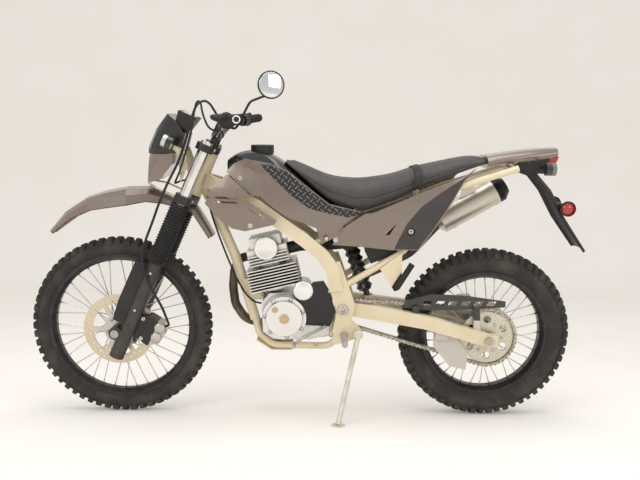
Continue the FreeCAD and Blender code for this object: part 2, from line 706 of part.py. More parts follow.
def headlight_cowl():
    block = steer_outline(COWL_SHARES, -COWL_SIDE).extrude(ACROSS * 2 * COWL_SIDE)
    back = steer_outline(LAMP_BACK_SHARES, -COWL_SIDE).extrude(ACROSS * 2 * COWL_SIDE)
    return join(block.common(nose_rounding(COWL_NOSE_RADIUS, COWL_NOSE_AHEAD)), block.common(back))


def instrument():
    box = steer_outline(METER_SHARES, -METER_SIDE).extrude(ACROSS * 2 * METER_SIDE)
    return box.cut(headlight())


STAY_THICKNESS = 5.0
STAY_SIDE = LAMP_SIDE + STAY_THICKNESS
STAY_SHARES = [(0.715, 0.090), (0.715, 0.120), (0.700, 0.120), (0.692, 0.098)]


def lamp_stays():
    """Two flat stays from the upper and lower clamps to the lamp."""
    low_ahead = LEG_AHEAD + CLAMP_COLLAR + FIT
    shares = [(0.600, low_ahead / TANK_HEIGHT), (0.670, low_ahead / TANK_HEIGHT)] + STAY_SHARES
    stay = steer_outline(shares, -STAY_SIDE).extrude(ACROSS * STAY_THICKNESS)
    return both(stay)


# Indicators on short stalks.
INDICATOR_RADIUS = 22.0
INDICATOR_DEPTH = 34.0
STALK_RADIUS = 7.0
FRONT_INDICATOR_UP = 724.0
FRONT_INDICATOR_AHEAD = 134.0
FRONT_INDICATOR_SIDE = 152.0
REAR_INDICATOR_SIDE = 150.0
REAR_INDICATOR_PLACE = spot(0.627, 0.951)


def indicator(centre, inner_side, forward):
    lamp = rod(centre - forward * (INDICATOR_DEPTH / 2), centre + forward * (INDICATOR_DEPTH / 2),
               INDICATOR_RADIUS)
    stalk = rod(Vector(centre.x, -inner_side, centre.z), centre, STALK_RADIUS)
    return join(lamp, stalk)


def front_indicators():
    centre = steer(FRONT_INDICATOR_UP, FRONT_INDICATOR_AHEAD, -FRONT_INDICATOR_SIDE)
    return both(indicator(centre, LAMP_SIDE + FIT, STEER_AHEAD))


# Fenders: a thin arched strip carried along a path in the side view.
FENDER_WALL = 4.0


def fender_strip(centres, half_widths, drops):
    """Arched sheet: at each place a ridge in the middle and an edge dropped at each side."""
    wires = []
    for index, centre in enumerate(centres):
        before = centres[max(index - 1, 0)]
        after = centres[min(index + 1, len(centres) - 1)]
        run = after - before
        outward = Vector(-run.z, 0, run.x).normalize()
        half = half_widths[index]
        drop = drops[index]
        shape = [(0.0, 0.0), (0.55, -0.12), (0.92, -0.45), (1.0, -1.0)]
        left_run = [centre - ACROSS * (half * side) + outward * (drop * down) for side, down in shape]
        right_run = [Vector(point.x, -point.y, point.z) for point in left_run[1:]]
        inner_left = [point - outward * FENDER_WALL + ACROSS * (FENDER_WALL if index_in > 1 else 0)
                      for index_in, point in enumerate(left_run)]
        inner_right = [Vector(point.x, -point.y, point.z) for point in inner_left[1:]]
        corners = list(reversed(left_run)) + right_run + list(reversed(inner_right)) + inner_left
        wires.append(Part.makePolygon(corners + corners[:1]))
    return Part.makeLoft(wires, True, True)


FRONT_FENDER_SHARES = [(-0.688, 0.700), (-0.640, 0.775), (-0.580, 0.828), (-0.530, 0.850), (-0.470, 0.866),
                       (-0.410, 0.868), (-0.362, 0.842)]
FRONT_FENDER_TAIL_SHARES = [(-0.262, 0.745), (-0.240, 0.690)]
FRONT_FENDER_HALF = [20.0, 48.0, 66.0, 74.0, 76.0, 66.0, 56.0, 54.0, 54.0, 54.0, 48.0]
FRONT_FENDER_DROP = [14.0, 34.0, 48.0, 56.0, 60.0, 50.0, 34.0, 26.0, 22.0, 20.0, 18.0]


def front_fender():
    seat_up = LOWER_CLAMP_LOW - FIT
    centres = [spot(*place) for place in FRONT_FENDER_SHARES]
    centres += [steer(seat_up, LEG_AHEAD + CLAMP_WEB), steer(seat_up, -LEG_AHEAD - CLAMP_WEB)]
    centres += [spot(*place) for place in FRONT_FENDER_TAIL_SHARES]
    return fender_strip(centres, FRONT_FENDER_HALF, FRONT_FENDER_DROP)


# Front caliper behind the left leg, astride the disc.
CALIPER_SHARES = [(0.105, -0.040), (0.098, -0.092), (0.060, -0.115), (0.020, -0.108), (-0.005, -0.070),
                  (0.012, -0.002), (0.085, -0.002)]
CALIPER_OUT = 92.0
CALIPER_IN = 40.0


def slotted_caliper(block, centre, side, radius):
    """Opens the caliper for its disc with room on both faces."""
    half = DISC_THICKNESS / 2 + MOVING_GAP
    middle = centre + ACROSS * side
    return block.cut(rod(middle - ACROSS * half, middle + ACROSS * half, radius + MOVING_GAP))


def front_brake():
    block = steer_outline(CALIPER_SHARES, -CALIPER_OUT).extrude(ACROSS * (CALIPER_OUT - CALIPER_IN))
    leg = rod(steer(SLIDER_LOW, LEG_AHEAD, -LEG_SIDE), steer(SLIDER_TOP, LEG_AHEAD, -LEG_SIDE), SLIDER_RADIUS + FIT)
    return slotted_caliper(block.cut(leg), FRONT_AXLE, FRONT_DISC_SIDE, FRONT_DISC_RADIUS)


# Slim guards down the front of the sliders.
GUARD_SHARES = [(0.283, 0.036), (0.283, 0.084), (0.120, 0.086), (0.045, 0.078), (0.045, 0.036)]
GUARD_HALF = 20.0


def fork_guards():
    guard = steer_outline(GUARD_SHARES, -LEG_SIDE - GUARD_HALF).extrude(ACROSS * 2 * GUARD_HALF)
    gap = rod(steer(SLIDER_LOW, LEG_AHEAD, -LEG_SIDE), steer(SLIDER_TOP, LEG_AHEAD, -LEG_SIDE),
              SLIDER_RADIUS + FIT)
    boss = rod(FRONT_AXLE - ACROSS * LEG_SIDE * 2, FRONT_AXLE, AXLE_BOSS_RADIUS + MOVING_GAP)
    return both(guard.cut([gap, boss]))


# Rear damper: its eyes, and the pins that carry them.
SHOCK_LOW = spot(0.180, 0.4535)
SHOCK_TOP = spot(0.112, 0.716)
SHOCK_RADIUS = 31.0
SHOCK_COILS = 8
SHOCK_WAIST_SHARE = 0.72
SHOCK_EYE_RADIUS = 14.0
SHOCK_EYE_HALF = 15.0
SHOCK_ROD_SHARE = 0.85
SHOCK_PIN_RADIUS = 8.0
SHOCK_EAR_WALL = 8.0
SHOCK_EAR_SHARES = [(0.166, 0.425), (0.168, 0.464), (0.192, 0.464), (0.196, 0.420)]

# Frame: head tube, twin box spars, single downtube, cradle tubes, pivot plates and seat rails.
SPAR_HEIGHT = 48.0
SPAR_WIDTH = 28.0
SPAR_SHARES = [(-0.262, 0.893), (-0.205, 0.866), (-0.125, 0.812), (0.005, 0.687), (0.050, 0.636), (0.080, 0.580),
               (0.090, 0.500)]
SPAR_SIDE_SHARES = [0.22, 0.62, 0.88, 1.0, 1.0, 1.0, 1.0]
SPAR_SIDE = 96.0
DOWNTUBE_RADIUS = 19.0
DOWNTUBE_SHARES = [(-0.268, 0.872), (-0.186, 0.610), (-0.132, 0.366)]
CRADLE_RADIUS = 12.5
CRADLE_SHARES = [(-0.134, 0.380, 0.0), (-0.118, 0.318, 0.55), (-0.080, 0.284, 0.72), (0.070, 0.284, 0.80),
                 (0.096, 0.318, 1.0)]
TANK_REST_SHARES = (-0.125, 0.815, 0.893)
TANK_REST_SIDE = 70.0
MOUNT_WALL = 5.0
MOUNT_PLATE_SHARES = [(-0.166, 0.525), (-0.157, 0.470), (-0.150, 0.445), (-0.114, 0.445), (-0.1050, 0.4585),
                      (-0.1040, 0.468), (-0.112, 0.474), (-0.142, 0.4745), (-0.152, 0.525)]
MUFFLER_TAB_SIDE = 124.0
MUFFLER_BOSSES = [(0.461, 0.893, 84.0, MUFFLER_TAB_SIDE)]
PLATE_LOW_SIDE = 90.0
PLATE_HIGH_SIDE = 102.0
PIVOT_PLATE_SHARES = [(0.060, 0.600), (0.098, 0.610), (0.128, 0.500), (0.141, 0.450), (0.132, 0.390),
                      (0.112, 0.304), (0.084, 0.296), (0.078, 0.330), (0.092, 0.420), (0.074, 0.500)]
SWING_PIVOT = spot(0.108, 0.433)
PIVOT_RADIUS = 10.0
RAIL_RADIUS = 12.0
SEAT_RAIL_SHARES = [(0.030, 0.672), (0.140, 0.742), (0.240, 0.790), (0.380, 0.868), (0.560, 0.948)]
LOWER_RAIL_SHARES = [(0.115, 0.520), (0.260, 0.640), (0.400, 0.850)]
RAIL_SIDE = 84.0


def one_frame_side():
    centres = [spot(along, up, -SPAR_SIDE * share) for (along, up), share in zip(SPAR_SHARES, SPAR_SIDE_SHARES)]
    spar = beam(centres, [SPAR_HEIGHT] * len(centres), SPAR_WIDTH)
    plate = slab([spot(*place) for place in PIVOT_PLATE_SHARES], -PLATE_HIGH_SIDE, -PLATE_LOW_SIDE)
    cradle = bent_tube([spot(along, up, -PLATE_LOW_SIDE * share) for along, up, share in CRADLE_SHARES],
                       CRADLE_RADIUS, CRADLE_RADIUS * 5)
    rail_points = [spot(along, up, -RAIL_SIDE) for along, up in SEAT_RAIL_SHARES]
    seat_rail = bent_tube(rail_points, RAIL_RADIUS, RAIL_RADIUS * 8)
    lower_points = [spot(along, up, -RAIL_SIDE - RAIL_RADIUS / 2) for along, up in LOWER_RAIL_SHARES]
    lower_rail = bent_tube(lower_points, RAIL_RADIUS, RAIL_RADIUS * 8)
    return [spar, plate, cradle, seat_rail, lower_rail]


def frame():
    head = rod(steer(HEAD_LOW), steer(HEAD_TOP), HEAD_RADIUS)
    downtube = bent_tube([spot(*place) for place in DOWNTUBE_SHARES], DOWNTUBE_RADIUS, DOWNTUBE_RADIUS * 6)
    side = one_frame_side()
    other = [mirrored(piece) for piece in side]
    crosses = [stand_boss()]
    for along, up, inner_share in SHROUD_BOSS_SHARES:
        boss = rod(spot(along, up, -SPAR_SIDE * inner_share), spot(along, up, -SHROUD_SIDE), BOSS_RADIUS)
        boss = boss.common(crowned(TANK_CROWN_SHARES, SHROUD_SIDE - PANEL_WALL, PANEL_ALONG_RADIUS - PANEL_WALL,
                                   COVER_UP_RADIUS - PANEL_WALL))
        crosses += [boss, mirrored(boss)]
    for along, up in COVER_BOSS_SHARES:
        boss = rod(spot(along, up, -RAIL_SIDE), spot(along, up, -SIDE_COVER_SIDE), BOSS_RADIUS)
        boss = boss.common(crowned(SIDE_CROWN_SHARES, SIDE_COVER_SIDE - PANEL_WALL, PANEL_ALONG_RADIUS - PANEL_WALL,
                                   SIDE_UP_RADIUS - PANEL_WALL))
        crosses += [boss, mirrored(boss)]
    for along, up, half in ((0.060, 0.615, SPAR_SIDE), (0.550, 0.944, RAIL_SIDE), (0.300, 0.823, RAIL_SIDE)):
        crosses.append(rod(spot(along, up, -half), spot(along, up, half), RAIL_RADIUS))
    shock_beam = ACROSS * (RAIL_SIDE - RAIL_RADIUS / 2)
    crosses.append(rod(SHOCK_TOP - shock_beam, SHOCK_TOP + shock_beam, SHOCK_PIN_RADIUS))
    for along, low, high, out in REST_BOSSES:
        boss = rod(spot(along, low, -out), spot(along, high, -out) - UPWARD * FIT, BOSS_RADIUS)
        crosses += [boss, mirrored(boss)]
    lowered_tank = fuel_tank()
    lowered_tank.translate(UPWARD * -FIT)
    along, low, high = TANK_REST_SHARES
    rest = rod(spot(along, low, -TANK_REST_SIDE), spot(along, high, -TANK_REST_SIDE), BOSS_RADIUS).cut(lowered_tank)
    crosses += [rest, mirrored(rest)]
    mount = slab([spot(*place) for place in MOUNT_PLATE_SHARES], -ENGINE_LUG_HALF - FIT - MOUNT_WALL,
                 -ENGINE_LUG_HALF - FIT)
    crosses += [mount, mirrored(mount)]
    for along, up, side_in, side_out in MUFFLER_BOSSES:
        crosses.append(rod(spot(along, up, side_in), spot(along, up, side_out - FIT), BOSS_RADIUS))
    whole = join(head, downtube, *(side + other + crosses))
    stem_bore = rod(steer(HEAD_LOW - CUT_OVERRUN), steer(HEAD_TOP + CUT_OVERRUN), STEM_RADIUS + STEM_GAP)
    headroom = rod(steer(LOWER_CLAMP_LOW - CUT_OVERRUN), steer(HEAD_LOW), HEAD_RADIUS * 2)
    pivot_bore = rod(SWING_PIVOT - ACROSS * PLATE_HIGH_SIDE * 2, SWING_PIVOT + ACROSS * PLATE_HIGH_SIDE * 2,
                     PIVOT_RADIUS + FIT)
    return whole.cut([stem_bore, headroom, pivot_bore])


# Swingarm: two box arms that spread round the tyre, a pivot tube and a cross brace.
ARM_SHARES = [(0.108, 0.433), (0.190, 0.416), (0.330, 0.388), (0.500, 0.322), (0.524, 0.320)]
ARM_SIDES = [74.0, 76.0, 104.0, 105.0, 105.0]
ARM_HEIGHTS = [48.0, 54.0, 50.0, 46.0, 40.0]
PIVOT_TUBE_RADIUS = 19.0
BRACE_SHARES = [(0.160, 0.400), (0.160, 0.440), (0.200, 0.432), (0.200, 0.392)]


def swingarm():
    centres = [spot(along, up, -side) for (along, up), side in zip(ARM_SHARES, ARM_SIDES)]
    arm = beam(centres, ARM_HEIGHTS, SWINGARM_WIDTH)
    tube = rod(SWING_PIVOT - ACROSS * (PLATE_LOW_SIDE - FIT), SWING_PIVOT + ACROSS * (PLATE_LOW_SIDE - FIT),
               PIVOT_TUBE_RADIUS)
    brace = slab([spot(*place) for place in BRACE_SHARES], -ARM_SIDES[1], ARM_SIDES[1])
    ear_outline = [spot(*place) for place in SHOCK_EAR_SHARES]
    ear_inner = SHOCK_EYE_HALF + FIT
    ears = [slab(ear_outline, side, side + SHOCK_EAR_WALL) for side in (-ear_inner - SHOCK_EAR_WALL, ear_inner)]
    pin = rod(SHOCK_LOW - ACROSS * (ear_inner + SHOCK_EAR_WALL), SHOCK_LOW + ACROSS * (ear_inner + SHOCK_EAR_WALL),
              SHOCK_PIN_RADIUS)
    whole = join(arm, mirrored(arm), tube, brace, pin, *ears)
    bores = [rod(SWING_PIVOT - ACROSS * PLATE_HIGH_SIDE, SWING_PIVOT + ACROSS * PLATE_HIGH_SIDE,
                 PIVOT_RADIUS + FIT),
             rod(REAR_AXLE - ACROSS * REAR_AXLE_HALF, REAR_AXLE + ACROSS * REAR_AXLE_HALF, AXLE_RADIUS + FIT)]
    return whole.cut(bores)


def swingarm_pivot():
    end = ACROSS * (PLATE_HIGH_SIDE + NUT_LENGTH)
    shaft = rod(SWING_PIVOT - end, SWING_PIVOT + end, PIVOT_RADIUS)
    heads = [rod(SWING_PIVOT + ACROSS * side, SWING_PIVOT + ACROSS * (side + NUT_LENGTH), NUT_RADIUS)
             for side in (-PLATE_HIGH_SIDE - FIT - NUT_LENGTH, PLATE_HIGH_SIDE + FIT)]
    return join(shaft, *heads)


# Engine: crankcase with round covers, finned cylinder and head leaning forward.
CASE_SHARES = [(-0.108, 0.330), (-0.112, 0.440), (-0.090, 0.478), (0.030, 0.486), (0.070, 0.470), (0.082, 0.400),
               (0.070, 0.320), (0.020, 0.302), (-0.080, 0.302)]
CASE_SIDE = 55.0
STATOR_CENTRE = spot(-0.048, 0.398)
STATOR_RADIUS = 80.0
COVER_SIDE = 118.0
COVER_STEP = 9.0
COVER_STEP_SHARE = 0.82
PLUG_SHARES = [(-0.048, 0.398, 17.0, 0.5), (-0.072, 0.432, 10.0, 0.3)]
ENGINE_LUG = spot(-0.107, 0.462)
ENGINE_LUG_HALF = 13.5
ENGINE_LUG_RADIUS = 15.0
STARTER_CENTRE = spot(0.002, 0.500)
STARTER_RADIUS = 30.0
CYLINDER_TILT = 13.5
CYLINDER_BASE = spot(-0.068, 0.480)
CYLINDER_UP = Vector(-math.sin(math.radians(CYLINDER_TILT)), 0, math.cos(math.radians(CYLINDER_TILT)))
CYLINDER_BACK = Vector(math.cos(math.radians(CYLINDER_TILT)), 0, math.sin(math.radians(CYLINDER_TILT)))
CYLINDER_HEIGHT = 118.0
HEAD_HEIGHT = 58.0
ROCKER_HEIGHT = 40.0
FIN_LENGTH = 186.0
FIN_WIDTH = 150.0
FIN_PITCH = 11.0
FIN_THICKNESS = 3.5
HEAD_LENGTH_SHARE = 0.8
HEAD_FINS = 4
CORE_RADIUS = 52.0


def cylinder_box(low, high, length, width, shift=0.0):
    """A block on the cylinder's own axis, between two heights above its base."""
    back = CYLINDER_BACK * (length / 2)
    start = CYLINDER_BASE + CYLINDER_UP * low + CYLINDER_BACK * shift
    half = ACROSS * (width / 2)
    corners = [start - back - half, start + back - half, start + back + half, start - back + half]
    return Part.Face(Part.makePolygon(corners + corners[:1])).extrude(CYLINDER_UP * (high - low))


def engine_case():
    case = slab([spot(*place) for place in CASE_SHARES], -CASE_SIDE, CASE_SIDE)
    stator = rod(STATOR_CENTRE - ACROSS * COVER_SIDE, STATOR_CENTRE, STATOR_RADIUS)
    stator = stator.cut(rod(STATOR_CENTRE - ACROSS * COVER_SIDE, STATOR_CENTRE - ACROSS * (COVER_SIDE - COVER_STEP),
                            STATOR_RADIUS).cut(rod(STATOR_CENTRE - ACROSS * COVER_SIDE * 2, STATOR_CENTRE,
                                                   STATOR_RADIUS * COVER_STEP_SHARE)))
    plugs = [rod(spot(along, up, -COVER_SIDE - COVER_STEP * proud), spot(along, up), radius)
             for along, up, radius, proud in PLUG_SHARES]
    stator = join(stator, *plugs)
    clutch = rod(STATOR_CENTRE, STATOR_CENTRE + ACROSS * (COVER_SIDE * 0.85), STATOR_RADIUS * 0.95)
    lug = rod(ENGINE_LUG - ACROSS * ENGINE_LUG_HALF, ENGINE_LUG + ACROSS * ENGINE_LUG_HALF, ENGINE_LUG_RADIUS)
    starter = rod(STARTER_CENTRE - ACROSS * (COVER_SIDE * 0.75), STARTER_CENTRE, STARTER_RADIUS)
    output = rod(DRIVE_CENTRE - ACROSS * (CHAIN_SIDE + SPROCKET_THICKNESS / 2 + NUT_LENGTH / 2), DRIVE_CENTRE,
                 NUT_RADIUS)
    middle = DRIVE_CENTRE - ACROSS * CHAIN_SIDE
    half = ACROSS * (SPROCKET_THICKNESS / 2)
    sprocket = rod(middle - half, middle + half, FRONT_PITCH_RADIUS - PLATE_HEIGHT / 2 - FIT)
    return join(case, stator, clutch, starter, output, sprocket, lug)


def engine_cylinder():
    core = rod(CYLINDER_BASE + CYLINDER_UP * (FIN_PITCH + FIT), CYLINDER_BASE + CYLINDER_UP * CYLINDER_HEIGHT,
               CORE_RADIUS)
    fins = []
    count = int(CYLINDER_HEIGHT / FIN_PITCH) - 1
    for index in range(1, count):
        low = FIN_PITCH * (index + 1)
        fins.append(cylinder_box(low, low + FIN_THICKNESS, FIN_LENGTH, FIN_WIDTH))
    whole = join(core, *fins)
    return whole.cut(engine_case())


def engine_head():
    low = CYLINDER_HEIGHT + FIT
    head = cylinder_box(low, low + HEAD_HEIGHT, FIN_LENGTH * HEAD_LENGTH_SHARE, FIN_WIDTH * 0.86)
    rocker = cylinder_box(low + HEAD_HEIGHT, low + HEAD_HEIGHT + ROCKER_HEIGHT, FIN_LENGTH * 0.62,
                          FIN_WIDTH * 0.72)
    cap_centre = CYLINDER_BASE + CYLINDER_UP * (low + HEAD_HEIGHT)
    cap = rod(cap_centre - ACROSS * (FIN_WIDTH / 2), cap_centre, HEAD_HEIGHT / 2)
    step = rod(cap_centre - ACROSS * (FIN_WIDTH / 2 + COVER_STEP / 2), cap_centre, HEAD_HEIGHT / 2 * COVER_STEP_SHARE)
    fins = [cylinder_box(low + FIN_PITCH * index, low + FIN_PITCH * index + FIN_THICKNESS,
                         FIN_LENGTH * HEAD_LENGTH_SHARE, FIN_WIDTH) for index in range(HEAD_FINS)]
    return join(head, rocker, cap, step, *fins)


# Exhaust pipe down the front, round the right side and up to the muffler.
HEADER_RADIUS = 17.0
HEADER_SHARES = [(-0.178, 0.590, 0.32), (-0.193, 0.545, 0.33), (-0.197, 0.480, 0.33), (-0.192, 0.410, 0.37),
                 (-0.165, 0.345, 0.47), (-0.115, 0.318, 0.72), (-0.060, 0.328, 0.92), (0.030, 0.378, 0.98),
                 (0.105, 0.452, 1.0), (0.150, 0.497, 0.88), (0.215, 0.548, 0.54), (0.300, 0.610, 0.56),
                 (0.345, 0.662, 0.86), (0.385, 0.714, 1.04)]
HEADER_SIDE = 142.0
PORT_SHARE = 0.4
MUFFLER_RADIUS = 50.0
MUFFLER_SIDE = 150.0
MUFFLER_FRONT = spot(0.392, 0.724, MUFFLER_SIDE)
MUFFLER_REAR = spot(0.556, 0.854, MUFFLER_SIDE)
MUFFLER_CAP = 24.0
STRAP_WIDTH = 12.0
STRAP_PROUD = 2.0
STRAP_SHARES = [0.12, 0.84]
MUFFLER_TAB_SHARES = [(0.440, 0.815), (0.452, 0.903), (0.470, 0.903), (0.482, 0.845)]
FLANGE_RADIUS = 27.0
FLANGE_THICKNESS = 8.0


def exhaust_pipe():
    points = [spot(along, up, HEADER_SIDE * share) for along, up, share in HEADER_SHARES]
    port = CYLINDER_BASE + CYLINDER_UP * (CYLINDER_HEIGHT + HEAD_HEIGHT * PORT_SHARE)
    port = port - CYLINDER_BACK * (FIN_LENGTH * HEAD_LENGTH_SHARE / 2 + FIT)
    port = Vector(port.x, points[0].y, port.z)
    flange = rod(port, port - CYLINDER_BACK * FLANGE_THICKNESS, FLANGE_RADIUS)
    return join(bent_tube([port] + points, HEADER_RADIUS, HEADER_RADIUS * 5), flange)


def muffler():
    run = (MUFFLER_REAR - MUFFLER_FRONT).normalize()
    body = rod(MUFFLER_FRONT, MUFFLER_REAR, MUFFLER_RADIUS)
    nose = Part.makeCone(HEADER_RADIUS * 1.2, MUFFLER_RADIUS, MUFFLER_CAP, MUFFLER_FRONT - run * MUFFLER_CAP, run)
    cap = Part.makeCone(MUFFLER_RADIUS, MUFFLER_RADIUS * 0.6, MUFFLER_CAP, MUFFLER_REAR, run)
    length = (MUFFLER_REAR - MUFFLER_FRONT).Length
    straps = [rod(MUFFLER_FRONT + run * length * share, MUFFLER_FRONT + run * (length * share + STRAP_WIDTH),
                  MUFFLER_RADIUS + STRAP_PROUD) for share in STRAP_SHARES]
    tab = slab([spot(*place) for place in MUFFLER_TAB_SHARES], MUFFLER_TAB_SIDE, MUFFLER_TAB_SIDE + MOUNT_WALL)
    outlet = rod(MUFFLER_REAR, MUFFLER_REAR + run * MUFFLER_CAP * 2, HEADER_RADIUS * 0.7)
    return join(body, nose, cap, tab, *straps).cut([outlet, exhaust_pipe()])


# Intake between the head and the airbox.
INTAKE_RADIUS = 22.0
INTAKE_SIDE = 56.0
AIRBOX_SIDE = 70.0
AIRBOX_SHARES = [(0.166, 0.640), (0.182, 0.596), (0.245, 0.632), (0.290, 0.700), (0.285, 0.770), (0.235, 0.755),
                 (0.172, 0.720)]


def intake():
    start = CYLINDER_BASE + CYLINDER_UP * (CYLINDER_HEIGHT + HEAD_HEIGHT / 2) + CYLINDER_BACK * (FIN_LENGTH * 0.4)
    start = start + CYLINDER_BACK * FIT
    points = [start, start + CYLINDER_BACK * INTAKE_RADIUS * 2, spot(0.090, 0.668, -INTAKE_SIDE),
              spot(0.1655, 0.680, -INTAKE_SIDE)]
    return bent_tube(points, INTAKE_RADIUS, INTAKE_RADIUS * 3)


def airbox():
    return slab([spot(*place) for place in AIRBOX_SHARES], -AIRBOX_SIDE, AIRBOX_SIDE)


# Fuel tank under its covers, from cross-sections along its length.
TANK_SECTION = [(-0.40, 0.02), (-0.86, 0.22), (-1.0, 0.55), (-0.80, 0.88), (-0.40, 0.985), (0.0, 1.0), (0.40, 0.985),
                (0.80, 0.88), (1.0, 0.55), (0.86, 0.22), (0.40, 0.02), (0.0, 0.02)]
TANK_STATIONS = [(-0.200, 0.925, 0.968, 0.50), (-0.155, 0.872, 1.000, 0.86), (-0.110, 0.846, 1.000, 1.0),
                 (-0.055, 0.800, 0.968, 1.0), (0.000, 0.768, 0.905, 0.95), (0.080, 0.750, 0.830, 0.80)]
TANK_HALF_WIDTH = 94.0
TANK_GAP = 3.0
CAP_RADIUS = 42.0
CAP_HEIGHT = 20.0
CAP_PLACE = spot(-0.110, 1.0)


def fuel_tank():
    wires = [smooth_section(WHEELBASE * along, TANK_HALF_WIDTH * width, TANK_HEIGHT * low, TANK_HEIGHT * high,
                            TANK_SECTION) for along, low, high, width in TANK_STATIONS]
    shell = Part.makeLoft(wires, True, False)
    room = crowned(TANK_CROWN_SHARES, COVER_SIDE_OUT - PANEL_WALL - TANK_GAP,
                   PANEL_ALONG_RADIUS - PANEL_WALL - TANK_GAP, COVER_UP_RADIUS - PANEL_WALL - TANK_GAP)
    shell = shell.common(room).common(mirrored(room))
    bosses = []
    for along, up in TANK_BOSS_SHARES:
        boss = rod(spot(along, up, -TANK_HALF_WIDTH * BOSS_ROOT_SHARE), spot(along, up, -COVER_SIDE_OUT), BOSS_RADIUS)
        boss = boss.common(crowned(TANK_CROWN_SHARES, COVER_SIDE_OUT - PANEL_WALL, PANEL_ALONG_RADIUS - PANEL_WALL,
                                   COVER_UP_RADIUS - PANEL_WALL))
        bosses += [boss, mirrored(boss)]
    return join(shell, *bosses)


def fuel_cap():
    cap = rod(CAP_PLACE - UPWARD * CAP_HEIGHT / 2, CAP_PLACE + UPWARD * CAP_HEIGHT, CAP_RADIUS)
    seat = fuel_tank()
    seat.translate(UPWARD * FIT)
    return cap.cut(seat)


# Covers and shrouds, thin outside panels on both sides.
PANEL_WALL = 4.0
TANK_COVER_SHARES = [(-0.200, 0.928), (-0.180, 0.958), (-0.152, 0.975), (-0.088, 0.960), (-0.038, 0.934),
                     (0.069, 0.820), (0.160, 0.789), (0.110, 0.745), (0.072, 0.690), (0.050, 0.672),
                     (0.036, 0.732), (-0.001, 0.753), (-0.042, 0.775), (-0.079, 0.810), (-0.109, 0.845),
                     (-0.132, 0.847)]
PANEL_ALONG_RADIUS = 1500.0
PANEL_SINK = 90.0
TANK_CROWN_SHARES = (-0.040, 0.790)
COVER_SIDE_OUT = 124.0
COVER_UP_RADIUS = 430.0
SHROUD_TOP_SHARES = [(-0.196, 0.922), (-0.247, 0.852), (-0.247, 0.842), (-0.131, 0.846)]
SHROUD_LOW_SHARES = [(-0.254, 0.818), (-0.247, 0.838), (-0.144, 0.832), (-0.067, 0.764), (-0.072, 0.748),
                     (-0.149, 0.722), (-0.183, 0.731), (-0.210, 0.756)]
SHROUD_SIDE = 144.0
SHROUD_SLOT_SHARES = [[(-0.236, 0.829), (-0.160, 0.826), (-0.160, 0.820), (-0.233, 0.822)],
                      [(-0.140, 0.812), (-0.096, 0.772), (-0.100, 0.767), (-0.148, 0.808)]]
BOSS_RADIUS = 7.0
BOSS_ROOT_SHARE = 0.5
SHROUD_BOSS_SHARES = [(-0.165, 0.852, 0.50), (-0.108, 0.784, 0.80)]
TANK_BOSS_SHARES = [(-0.130, 0.925), (0.020, 0.800)]
COVER_BOSS_SHARES = [(0.240, 0.792), (0.140, 0.742)]
REST_SIDE = 50.0
REST_BOSSES = [(0.300, 0.823, 0.869, REST_SIDE), (0.550, 0.944, 0.9598, REST_SIDE)]
SIDE_COVER_SHARES = [(0.164, 0.788), (0.182, 0.790), (0.314, 0.868), (0.420, 0.920), (0.453, 0.950),
                     (0.421, 0.906), (0.375, 0.800), (0.340, 0.727), (0.305, 0.657), (0.231, 0.657),
                     (0.150, 0.668), (0.078, 0.672), (0.114, 0.743)]
SIDE_CROWN_SHARES = (0.230, 0.780)
SIDE_COVER_SIDE = 130.0
SIDE_UP_RADIUS = 900.0
COVER_SLOT_SHARES = [(0.215, 0.711), (0.246, 0.758), (0.226, 0.713)]


def crowned(centre_shares, side, along_radius, up_radius):
    """A large ring whose outermost point faces the rider's left: its skin is the curve of a body panel."""
    middle = spot(*centre_shares) - ACROSS * (side - along_radius)
    return Part.makeTorus(along_radius - up_radius, up_radius, middle, UPWARD)


def crowned_panel(shares, centre_shares, side, up_radius):
    """A moulded panel: the given outline in the side view, curved both ways, with one wall all over."""
    outline = slab([spot(*place) for place in shares], -side, -side + PANEL_SINK)
    shell = outline.common(crowned(centre_shares, side, PANEL_ALONG_RADIUS, up_radius))
    inside = crowned(centre_shares, side - PANEL_WALL, PANEL_ALONG_RADIUS - PANEL_WALL, up_radius - PANEL_WALL)
    return shell.cut(inside)


def tank_covers():
    return both(crowned_panel(TANK_COVER_SHARES, TANK_CROWN_SHARES, COVER_SIDE_OUT, COVER_UP_RADIUS))


def shrouds():
    top = crowned_panel(SHROUD_TOP_SHARES, TANK_CROWN_SHARES, SHROUD_SIDE, COVER_UP_RADIUS)
    low = crowned_panel(SHROUD_LOW_SHARES, TANK_CROWN_SHARES, SHROUD_SIDE, COVER_UP_RADIUS)
    slots = [slab([spot(*place) for place in shares], -SHROUD_SIDE, -SHROUD_SIDE + PANEL_SINK)
             for shares in SHROUD_SLOT_SHARES]
    low = low.cut(slots)
    return Part.makeCompound([top, low, mirrored(top), mirrored(low)])


def side_covers():
    cover = crowned_panel(SIDE_COVER_SHARES, SIDE_CROWN_SHARES, SIDE_COVER_SIDE, SIDE_UP_RADIUS)
    slot = slab([spot(*place) for place in COVER_SLOT_SHARES], -SIDE_COVER_SIDE, -SIDE_COVER_SIDE + PANEL_SINK)
    return both(cover.cut(slot))


# Seat: crowned sections along its length.
SEAT_SECTION = [(-0.86, 0.0), (-1.0, 0.30), (-0.94, 0.70), (-0.60, 0.96), (0.0, 1.0), (0.60, 0.96), (0.94, 0.70),
                (1.0, 0.30), (0.86, 0.0)]
SEAT_STATIONS = [(-0.046, 0.968, 0.975, 0.55), (0.000, 0.915, 0.948, 0.72), (0.070, 0.840, 0.910, 0.92),
                 (0.132, 0.808, 0.900, 1.0), (0.182, 0.803, 0.904, 1.0), (0.240, 0.835, 0.918, 1.0),
                 (0.300, 0.872, 0.944, 0.98), (0.358, 0.905, 0.962, 0.95), (0.430, 0.940, 0.982, 0.84),
                 (0.480, 0.962, 0.986, 0.70)]
SEAT_HALF_WIDTH = 108.0


